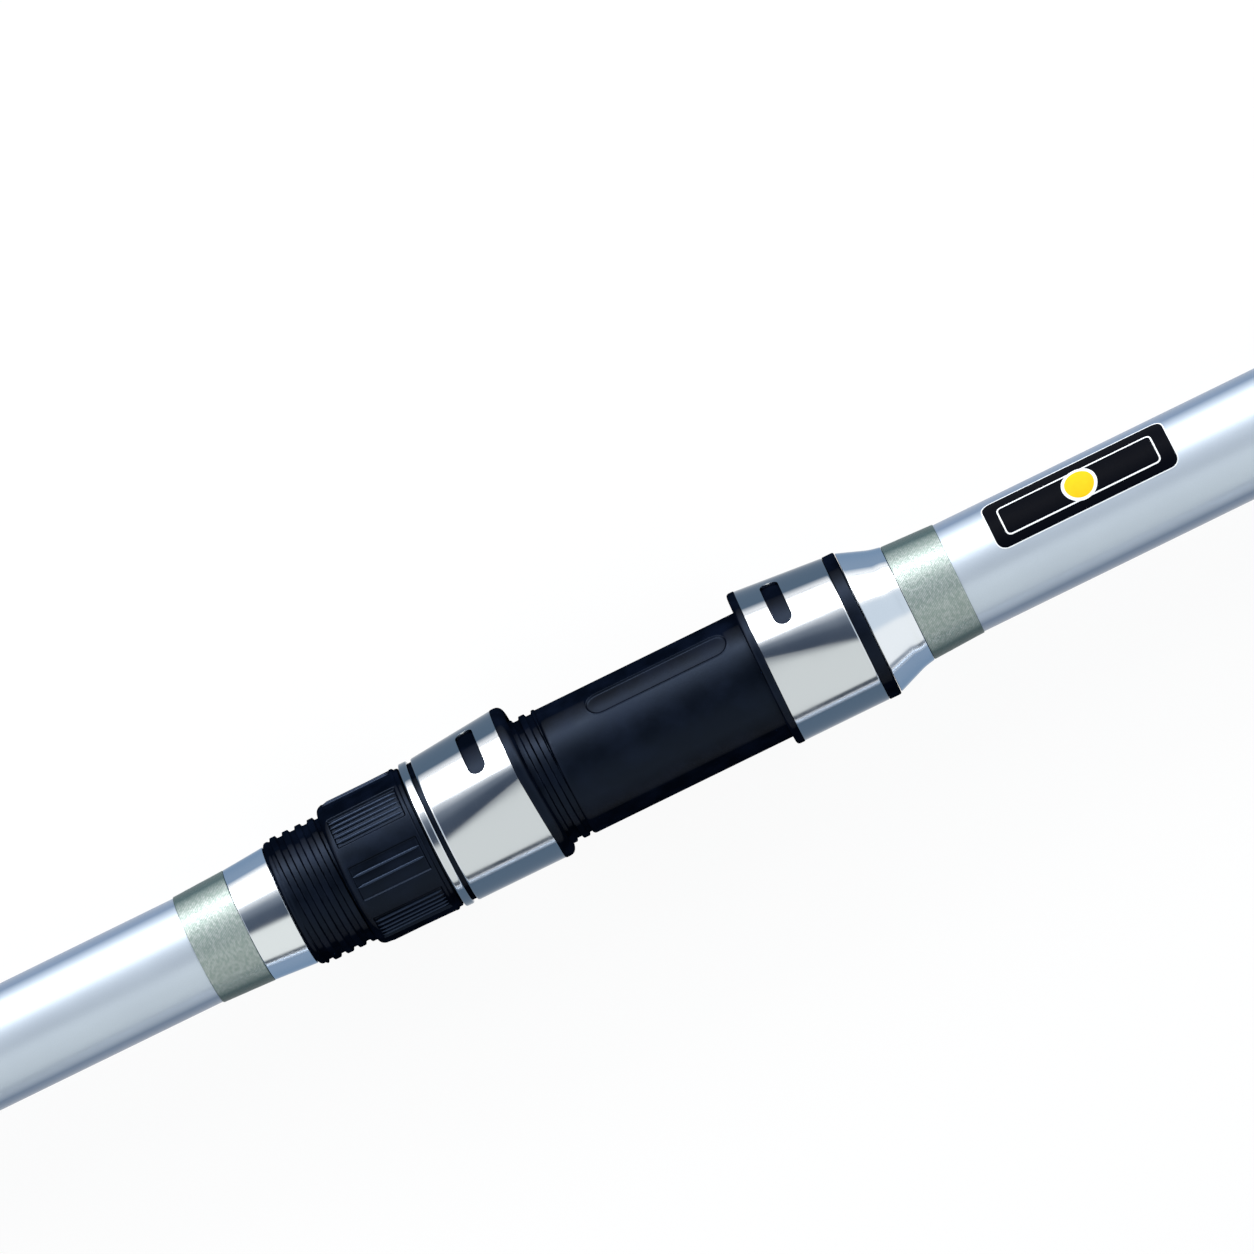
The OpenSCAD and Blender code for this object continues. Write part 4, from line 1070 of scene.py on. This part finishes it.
def hood_cover(name, section, to_row, first, last, slot_x, slant):
    """A polished cover: a sheet with a slot on each side, folded to shape and thickened."""
    s = sizes()
    xs = unique_run((first, first + LIP_LONG, 7), (first + 1.2, slot_x - SLOT_BOX, 11),
                    (slot_x - SLOT_BOX, slot_x + SLOT_BOX, 15), (slot_x + SLOT_BOX, last, 8))
    angles = unique_run((-90, FACET_FROM, 38), (FACET_FROM, BEND_FROM, 9), (BEND_FROM, ARCH_FROM, 16),
                        (ARCH_FROM, 78, 44), (78, 90, 8))
    arch_r = mouth_arcs(s)[3][2]
    round_mm = (1 - slot_x / COVER_LEN) * s.hood_r + slot_x / COVER_LEN * arch_r
    ss = np.radians(angles) * round_mm
    centre_s = math.radians(SLOT_ANGLE) * round_mm
    box = [int(np.argmin(np.abs(xs - slot_x - side * SLOT_BOX))) for side in (-1, 1)]
    box += [int(np.searchsorted(ss, centre_s + side * (s.slot_long / 2 + SLOT_MARGIN))) for side in (-1, 1)]

    def surface(x, distance, depth):
        lip = LIP_DEEP * np.clip(1 - (x - first) / LIP_LONG, 0, 1) ** 2
        y, z = hood_surface(s, x, distance / round_mm, lip)
        return np.column_stack([to_row(x + mouth_shift(slant, x, y)), y, z])

    slot = Stadium((slot_x, centre_s), (0, (s.slot_long - s.slot_wide) / 2), s.slot_wide / 2, box,
                   [(0.22, 0), (0.1, 0), (0, 0)])
    points, faces, _ = sheet_points(xs, ss, slot, surface)
    faces += [[v + len(points) for v in reversed(face)] for face in faces]
    obj = make_object(name, np.concatenate([points, points * (1, 1, -1)]), faces, section)
    return smooth(thicken(tidy(obj, 0.002, section), s.sheet, SHEET_EDGE), 50)


def hood_liner(name, section, to_row, stations, bore, pocket_to, slant):
    """A black liner: a body under the cover with the rim, bored, and cut out for the reel foot."""
    s = sizes()
    half = np.radians(np.unique(np.concatenate([
        np.linspace(-90, FACET_FROM, 30), np.linspace(FACET_FROM, ARCH_FROM, 20),
        np.linspace(ARCH_FROM, 90, 40)])))
    ring = np.concatenate([half, half[-2:0:-1]])
    side = np.where(np.arange(len(ring)) < len(half), 1, -1)
    rows = []
    for x, inset in stations:
        y, z = hood_surface(s, np.full(len(ring), x), ring, inset)
        rows.append(np.column_stack([to_row(x + mouth_shift(slant, x, y)), y, z * side]))
    for x in (stations[-1][0], stations[0][0]):
        y = bore * np.sin(ring)
        rows.append(np.column_stack([to_row(x + mouth_shift(slant, x, y)), y, bore * np.cos(ring) * side]))
    obj = tidy(make_object(name, np.concatenate(rows), ring_faces(len(rows), len(ring)), section))
    cutter = foot_pocket(name + "_cutter", section, to_row, s, pocket_to)
    cut = obj.modifiers.new("pocket", "BOOLEAN")
    cut.operation = "DIFFERENCE"
    cut.solver = "EXACT"
    cut.object = cutter
    bake(obj)
    bpy.data.objects.remove(cutter)
    return smooth(obj, 32)


def foot_pocket(name, section, to_row, s, pocket_to):
    """The room for the reel foot inside a hood, used only to cut it out."""
    rows = []
    for x in (0.6, pocket_to):
        angles = np.linspace(math.radians(35), math.pi / 2, 24)
        arch = [(y, z) for y, z in zip(*hood_surface(s, x, angles, POCKET_ROOF)) if z < POCKET_HALF]
        spring_y = arch[0][0] - 0.15
        half = [(POCKET_FLOOR, POCKET_HALF), (spring_y, POCKET_HALF), *arch]
        rows.append([(to_row(x), y, z) for y, z in half + [(y, -z) for y, z in reversed(half[:-1])]])
    count = min(len(row) for row in rows)
    points = np.concatenate([resampled(row, np.linspace(0, 1, count)) for row in rows])
    faces = ring_faces(2, count, closed=False) + [range(count), range(2 * count - 1, count - 1, -1)]
    return tidy(make_object(name, points, faces, section))


def resampled(line, shares):
    """Points of a polyline at shares of its length."""
    line = np.array(line)
    run = np.concatenate([[0], np.cumsum(np.linalg.norm(np.diff(line, axis=0), axis=1))])
    return np.column_stack([np.interp(shares * run[-1], run, column) for column in line.T])


class SURFROD_OT_hoods(bpy.types.Operator):
    """Make both hoods, their liners, the thrust ring and the end band"""

    bl_idname = "surfrod.hoods"
    bl_label = "Hoods"

    def execute(self, context):
        steel, black = polished_steel(), black_nylon()
        self.sliding(steel, black)
        ring = hoop(14, (THRUST_X + 0.2, 14.8, 0.4), (THRUST_X + 1.9, 14.8, 0.4))
        lathe("thrust_ring_polished", ring, HOOD, steel, "polished", "thrust_ring", 192)
        self.fixed(steel, black)
        band = hoop(13.08, (FIXED_END + 0.05, 14.74, 0.12), (SEAT_END, 14.74, 0.4))
        lathe("band_end", band, BUTT, black, "seat_plastic", "fixed_hood_band", 192)
        return {"FINISHED"}

    def sliding(self, steel, black):
        """The hood that the nut pushes, open towards the reel."""
        end, rim_end, slant = COVER_LEN, COVER_LEN + 2.4, 0.85

        def to_row(x):
            return COVER_X + x

        cover = hood_cover("cover_sliding", HOOD, to_row, 0.55, end, 11.75, slant)
        place(cover, HOOD, steel, "polished", "hood_cover")
        stations = [(-2.3, 0.75), (-0.4, 0.75), (-0.4, 0.5), (0.4, 0.5), (0.4, 0.64), (end + 0.02, 0.64),
                    (end + 0.02, 0.05), (end + 0.1, -0.06), (end + 0.25, -0.1), (rim_end - 1.45, -0.1),
                    (rim_end - 1.0, -0.02), (rim_end - 0.6, 0.18), (rim_end - 0.3, 0.5),
                    (rim_end - 0.1, 0.9), (rim_end, 1.3)]
        liner = hood_liner("liner_sliding", HOOD, to_row, stations, 13.06, rim_end + 1, slant)
        place(liner, HOOD, black, "seat_plastic", "hood_liner")

    def fixed(self, steel, black):
        """The hood at the seat's upper end, the other way round."""
        end, rim_end, slant = COVER_LEN - 0.28, COVER_LEN + 1.4, 0.12

        def to_row(x):
            return FIXED_END - x

        cover = hood_cover("cover_fixed", BUTT, to_row, 0.0, end, 11.1, slant)
        place(cover, BUTT, steel, "polished", "fixed_hood_cover")
        stations = [(0, 0.64), (end + 0.02, 0.64), (end + 0.02, 0.05), (end + 0.1, -0.06), (end + 0.2, -0.1),
                    (rim_end - 0.6, -0.1), (rim_end - 0.3, 0.0), (rim_end - 0.1, 0.2), (rim_end, 0.55)]
        liner = hood_liner("liner_fixed", BUTT, to_row, stations, 13.05, rim_end + 1, slant)
        place(liner, BUTT, black, "seat_plastic", "fixed_hood_liner")


# Label place

# Middle of the label, along the butt and as an angle from straight up towards the guides' side
LABEL_X, LABEL_ANGLE = SEAT_X + 167.7, math.radians(34.8)
FILM_THICK = 0.04
# Length, width and corner radius of the plate with its border, and of the keyline
PLATE, KEYLINE = (37.7, 11.5, 2.0), (32.0, 6.6, 1.0)
BORDER_WIDE, KEYLINE_WIDE = 0.22, 0.3
DISC_R, DISC_EDGE_R = 2.9, 3.5


def rounded_box(length_mm, width_mm, corner, steps=6):
    """Outline of a box with round corners about its centre, as a closed loop."""
    out = []
    for sx, sy, start in ((1, 1, 0), (-1, 1, 90), (-1, -1, 180), (1, -1, 270)):
        cx, cy = sx * (length_mm / 2 - corner), sy * (width_mm / 2 - corner)
        for a in np.radians(start + np.linspace(0, 90, steps + 1)):
            out.append((cx + corner * math.cos(a), cy + corner * math.sin(a)))
    loop = np.array(out + out[:1])
    length = np.linalg.norm(np.diff(loop, axis=0), axis=1).sum()
    return resampled(loop, np.linspace(0, 1, max(160, int(length / 0.5)), endpoint=False))


def moved_in(loop, inset):
    """A closed loop moved inwards, point for point."""
    along = np.roll(loop, -1, axis=0) - np.roll(loop, 1, axis=0)
    along /= np.linalg.norm(along, axis=1)[:, None]
    return loop + np.column_stack([-along[:, 1], along[:, 0]]) * inset


def film(name, outer, inner, dx, turn, lift, material):
    """A thin printed film on the blank between two loops of place and distance round it."""
    x = LABEL_X + dx
    r = radius_at(BUTT_SHAPE, x) + lift
    rows = [outer + (inner - outer) * t for t in np.linspace(0, 1, 9)]
    points = np.concatenate([round_points(x + row[:, 0], r, LABEL_ANGLE + turn + row[:, 1] / r)
                             for row in rows])
    obj = make_object(name, points, ring_faces(len(rows), len(outer), closed=False), BUTT)
    thicken(tidy(obj, 0.001, BUTT), FILM_THICK)
    place(smooth(obj, 40), BUTT, material, "blank")


class SURFROD_OT_label(bpy.types.Operator):
    """Make the plain label place: a dark plate with keylines and a disc"""

    bl_idname = "surfrod.label"
    bl_label = "Label place"

    def execute(self, context):
        white, black = print_film("white", "#e9edf0"), print_film("black", "#05070e")
        border = rounded_box(*PLATE)
        plate = moved_in(border, BORDER_WIDE)
        spine = np.column_stack([np.clip(plate[:, 0], -13.5, 13.5), np.zeros(len(plate))])
        film("label_plate", plate, spine, 0, 0, 0.05, black)
        film("label_border", border, plate, 0, 0, 0.06, white)
        line = rounded_box(*KEYLINE)
        film("label_keyline", line, moved_in(line, KEYLINE_WIDE), -0.2, -0.03, 0.09, white)
        turn = np.linspace(0, 2 * math.pi, 48, endpoint=False)
        circle = np.column_stack([np.cos(turn), np.sin(turn)])
        film("label_disc_edge", circle * DISC_EDGE_R, circle * DISC_R, 0, -0.03, 0.12, white)
        film("label_disc", circle * (DISC_R + 0.05), circle * 0, 0, -0.03, 0.11,
             print_film("yellow", "#e0b41c"))
        return {"FINISHED"}


# Middle and tip sections

MID_LEN = 1548
MID_SOCKET_R = 5.3


class SURFROD_OT_middle(bpy.types.Operator):
    """Make the middle section's blank, spigot, mesh wrap and ring"""

    bl_idname = "surfrod.middle"
    bl_label = "Middle section"

    def execute(self, context):
        mouth = softened([(MID_LEN - 1, 6.6525), (MID_LEN, 6.65, 0.2), (MID_LEN, MID_SOCKET_R, 0.3),
                          (MID_LEN - 1, MID_SOCKET_R)])
        inner = [(1453, MID_SOCKET_R), (1453, 5.05), (156, 7.95), (114, 7.95)]
        spigot = [(0, 0), *nose(9, 5.4), (113.95, 9), (113.95, 7.9), (154, 7.9), (154, 6.6), (8.1, 6.6),
                  (8.1, 0)]
        mesh = band_outline(MID_SHAPE, 223, 65, 0.3, 0.3, 0.25)
        ring = band_outline(MID_SHAPE, MID_LEN - 14, 14, 0.5, 0.5, 0.2)
        for name, outline, material, slot, node in (
                ("blank_middle", [MID_SHAPE[0], *mouth, *inner], lacquer(), "blank", "mid_blank"),
                ("spigot_middle", spigot, bare_carbon(), "spigot", "mid_spigot"),
                ("wrap_mesh", mesh, silver_mesh(), "silver_wrap", "mid_mesh_wrap"),
                ("socket_ring_middle", ring, polished_steel(), "polished", "mid_socket_ring")):
            lathe(name, outline, MID, material, slot, node, 128)
        return {"FINISHED"}


class SURFROD_OT_tip(bpy.types.Operator):
    """Make the tip section's blank, spigot and upper wrap"""

    bl_idname = "surfrod.tip"
    bl_label = "Tip section"

    def execute(self, context):
        blank = [*TIP_SHAPE, (1517, 0), (895, 0), (895, 0.8), (121, 3.75), (89, 3.75)]
        lathe("blank_tip", blank, TIP, lacquer(), "blank", "tip_blank", 96)
        spigot = [(0, 0), *nose(5.25, 3.15), (88.95, 5.25), (88.95, 3.7), (119, 3.7), (119, 2.4), (4.7, 2.4),
                  (4.7, 0)]
        lathe("spigot_tip", spigot, TIP, bare_carbon(), "spigot", "tip_spigot", 96)
        lumpy_wrap("wrap_tip_top", TIP, TIP_SHAPE, 1493, 9.95, 0.35, 0.65, 0.3, dark_thread(TIP),
                   "dark_wrap", "tip_top_wrap", 48)
        return {"FINISHED"}


# Guides as node, place, lengths of the upper and lower wrap, and the gap between these
MID_GUIDES = [("mid_guide_1", 560, 22, 16, 19), ("mid_guide_2", 1227, 22, 16, 19)]
TIP_GUIDES = [("tip_guide_1", 311, 14, 14, 12), ("tip_guide_2", 690, 14, 14, 12),
              ("tip_guide_3", 1010, 14, 14, 12), ("tip_guide_4", 1286, 14, 14, 12)]


# Height of a guide's wrap at its ends, over its middle and over the foot
SKIN, WRAP_HIGH, HUMP_HIGH = 0.12, 0.5, 0.55


def saddle_wrap(name, section, shape, x, run, way, material):
    """A guide's thread wrap: round the blank, and drawn up over the foot that it holds."""
    angles = np.linspace(-math.pi, math.pi, 96, endpoint=False)
    rim = np.array([0, 0.12, 0.35, 0.7])
    xs = np.concatenate([rim, np.linspace(1.2, run - 1.2, max(6, int(run / 0.8))), run - rim[::-1]])
    u, a = np.meshgrid(xs, angles, indexing="ij")
    r0 = radius_at(shape, x + u)
    edge = ease(np.minimum(u, run - u) / 0.8)
    foot_end = (1 - u / run) if way > 0 else u / run
    hump = np.exp(-((a - math.pi / 2) * r0 / (0.5 + 0.25 * r0)) ** 2) * ease(foot_end * 1.6 + 0.1)
    radii = r0 + SKIN + (WRAP_HIGH + HUMP_HIGH * hump) * edge
    obj = grid_tube(name, section, x + xs, angles, radii, radius_at(shape, x + run) - 0.3, 60)
    return place(obj, section, material, "thread_wrap")


class SURFROD_OT_guides(bpy.types.Operator):
    """Give the line guides their metal, rings and thread wraps"""

    bl_idname = "surfrod.guides"
    bl_label = "Line guides"

    def execute(self, context):
        for section, shape, guides in ((MID, MID_SHAPE, MID_GUIDES), (TIP, TIP_SHAPE, TIP_GUIDES)):
            for name, x, upper, lower, apart in guides:
                thread = dark_thread(section) if name == "tip_guide_4" else green_thread(section)
                first = saddle_wrap(name + "_wrap_upper", section, shape, x + 3, upper, 1, thread)
                saddle_wrap(name + "_wrap_lower", section, shape, x + 3 - apart - lower, lower, -1, thread)
                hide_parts(name + "_wraps")
                dress(name, guide_steel(), ceramic())
        dress("tip_top", guide_steel(), ceramic())
        for hidden in ("seat_shim_rear", "seat_shim_front"):
            coat(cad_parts[hidden], moulded_rubber())
        return {"FINISHED"}


def dress(guide, metal, inlay):
    """Gives a guide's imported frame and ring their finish."""
    coat(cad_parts[guide + "_frame"], metal)
    coat(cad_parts[guide + "_ring"], inlay)


# Stage

# How much of the floor's look is plain white; the rest takes light and shadow
WHITE_SHARE = 0.93
FLOOR_HALF_M, FLOOR_Z_M = 30.0, -0.0002
# Places along the world's X that the lamps and the camera aim at, how far beside the rod's axis the picture's
# middle lies, and how far further on than it the camera stands
SEAT_LIT_M, SEAT_SEEN_M, SEEN_BESIDE_M, CAMERA_ON_M = -0.02, -0.05998, 0.0191, 0.053

# Colours of the light from all round, at angles in degrees from straight up towards the guides' side: beside
# the seat, and beyond the ends of the rod
LIGHT_BESIDE = [(-180, "#c9ced3"), (-94, "#c9ced3"), (-89.5, "#4a525c"), (-83, "#4a525c"), (-80, "#e6e9e6"),
                (-20, "#e6e9e6"), (-12, "#3f4a5b"), (8, "#4c5767"), (24, "#7d8794"), (38, "#e8ecf0"),
                (85, "#ffffff"), (100, "#c9d0d8"), (180, "#c9ced3")]
LIGHT_BEYOND = [(-180, "#c9ced3"), (-94, "#c9ced3"), (-89.5, "#8d96a2"), (-83, "#8d96a2"), (-80, "#f2f5f7"),
                (-22, "#f2f5f7"), (-12, "#d0dbe6"), (30, "#d0dbe6"), (40, "#ffffff"), (100, "#c9d0d8"),
                (180, "#c9ced3")]


class SURFROD_OT_stage(bpy.types.Operator):
    """Make the floor, the light and the camera"""

    bl_idname = "surfrod.stage"
    bl_label = "Stage"

    def execute(self, context):
        settings = context.scene.surfrod_stage
        self.floor()
        self.world(context.scene)
        self.lamp("panel", settings.panel, long_m=3.4, wide_m=0.86, angle=math.radians(62), away_m=1.0)
        self.lamp("strip", settings.strip, long_m=2.6, wide_m=0.2, angle=math.radians(64), away_m=0.9)
        self.camera(context.scene, settings)
        context.scene.view_settings.view_transform = "Standard"
        return {"FINISHED"}

    def floor(self):
        """A wide pale floor under the sections."""
        mesh = bpy.data.meshes.new("floor")
        corners = [(x * FLOOR_HALF_M, y * FLOOR_HALF_M, FLOOR_Z_M)
                   for x, y in ((-1, -1), (1, -1), (1, 1), (-1, 1))]
        mesh.from_pydata(corners, [], [[0, 1, 2, 3]])
        floor = in_scene("floor", mesh)
        material = bpy.data.materials.new("Painted board")
        tree = empty_tree(material)
        matt = add(tree, "ShaderNodeBsdfDiffuse", {"Color": chosen("floor")}).outputs[0]
        white = add(tree, "ShaderNodeEmission", {"Color": (1, 1, 1, 1), "Strength": 1.0}).outputs[0]
        path = add(tree, "ShaderNodeLightPath").outputs
        seen = maths(tree, "MAXIMUM", path["Is Camera Ray"], path["Is Glossy Ray"])
        seen = maths(tree, "MAXIMUM", seen, path["Is Transmission Ray"])
        share = ranged(tree, seen, 0, 1, 0, WHITE_SHARE)
        both = add(tree, "ShaderNodeMixShader", {0: share, 1: matt, 2: white}).outputs[0]
        add(tree, "ShaderNodeOutputMaterial", {"Surface": both})
        mesh.materials.append(material)

    def world(self, scene):
        """Soft light from all round, darker overhead, as a studio tent with its opening gives."""
        scene.world = bpy.data.worlds.new("Studio")
        tree = empty_tree(scene.world)
        way = add(tree, "ShaderNodeSeparateXYZ", {
            "Vector": add(tree, "ShaderNodeTexCoord").outputs["Generated"]}).outputs
        angle = ranged(tree, maths(tree, "ARCTAN2", way[1], way[2]), -math.pi, math.pi, 0, 1)
        aside = maths(tree, "ABSOLUTE", maths(tree, "ADD", way[0], 0.06))
        beside, beyond = (self.ramp(tree, angle, stops) for stops in (LIGHT_BESIDE, LIGHT_BEYOND))
        shades = blend(tree, beside, beyond, aside, 0.3, 0.44)
        around = add(tree, "ShaderNodeBackground", {"Color": shades, "Strength": 1.0}).outputs[0]
        add(tree, "ShaderNodeOutputWorld", {"Surface": around})

    def ramp(self, tree, share, stops):
        """Colours at angles, by the share of a full turn."""
        made = add(tree, "ShaderNodeValToRGB", {"Fac": share})
        elements = made.color_ramp.elements
        for i, (degrees, shade) in enumerate(stops):
            spot = (degrees + 180) / 360
            element = elements[i] if i < 2 else elements.new(spot)
            element.position = spot
            element.color = linear(shade)
        return made.outputs["Color"]

    def lamp(self, name, radiance, long_m, wide_m, angle, away_m):
        """A soft rectangular lamp beside the seat, at an angle from straight up towards the guides' side."""
        lamp = bpy.data.lights.new(name, "AREA")
        lamp.shape = "RECTANGLE"
        lamp.size, lamp.size_y = long_m, wide_m
        lamp.energy = radiance * math.pi * long_m * wide_m
        aim = Vector((SEAT_LIT_M, BUTT.y_m, BUTT.z_m))
        spot = aim + Vector((0, math.sin(angle), math.cos(angle))) * away_m
        self.aimed(in_scene(name, lamp), spot, aim, Vector((1, 0, 0))).visible_camera = False

    def camera(self, scene, settings):
        """The photograph's view: from above, rolled, with a long lens."""
        data = bpy.data.cameras.new("camera")
        centre = Vector((SEAT_SEEN_M, BUTT.y_m + SEEN_BESIDE_M, BUTT.z_m))
        off = Vector((CAMERA_ON_M, 0, settings.distance))
        right = Vector((math.cos(settings.roll), -math.sin(settings.roll), 0))
        scene.camera = self.aimed(in_scene("camera", data), centre + off, centre, right)
        data.sensor_width = 36
        data.lens = data.sensor_width * off.length / settings.span
        data.clip_start, data.clip_end = 0.05, 200

    def aimed(self, obj, spot, target, right):
        """Sets a camera or lamp at a spot and points it at a target, with its own X along a direction."""
        back = (spot - target).normalized()
        side = (right - back * right.dot(back)).normalized()
        obj.location = spot
        obj.rotation_mode = "QUATERNION"
        obj.rotation_quaternion = Matrix((side, back.cross(side), back)).transposed().to_quaternion()
        return obj


OPERATORS = [
    SURFROD_OT_butt_blank, SURFROD_OT_butt_end, SURFROD_OT_butt_trims, SURFROD_OT_seat, SURFROD_OT_nut,
    SURFROD_OT_hoods, SURFROD_OT_label, SURFROD_OT_middle, SURFROD_OT_tip, SURFROD_OT_guides,
    SURFROD_OT_stage,
]

GROUPS = {
    "surfrod_sizes": SURFROD_PG_sizes,
    "surfrod_colours": SURFROD_PG_colours,
    "surfrod_stage": SURFROD_PG_stage,
}


class SURFROD_PT_panel(bpy.types.Panel):
    """Lists the steps that build the rod"""

    bl_idname = "SURFROD_PT_panel"
    bl_label = "Surf rod"
    bl_space_type = "VIEW_3D"
    bl_region_type = "UI"
    bl_category = "Surf rod"

    def draw(self, context):
        for operator in OPERATORS:
            self.layout.operator(operator.bl_idname)
        for group in (getattr(context.scene, key) for key in GROUPS):
            box = self.layout.box()
            for key in group.bl_rna.properties.keys():
                if key not in ("rna_type", "name"):
                    box.prop(group, key)


CLASSES = [*GROUPS.values(), *OPERATORS, SURFROD_PT_panel]


def register():
    """Registers the classes and hangs the property groups on the scene."""
    for cls in CLASSES:
        bpy.utils.register_class(cls)
    for key, cls in GROUPS.items():
        setattr(bpy.types.Scene, key, bpy.props.PointerProperty(type=cls))


def unregister():
    """Takes away what register added."""
    for key in GROUPS:
        delattr(bpy.types.Scene, key)
    for cls in reversed(CLASSES):
        bpy.utils.unregister_class(cls)


def main():
    """Builds every piece in order."""
    register()
    for operator in OPERATORS:
        group, name = operator.bl_idname.split(".")
        getattr(getattr(bpy.ops, group), name)()


if __name__ == "__main__":
    main()
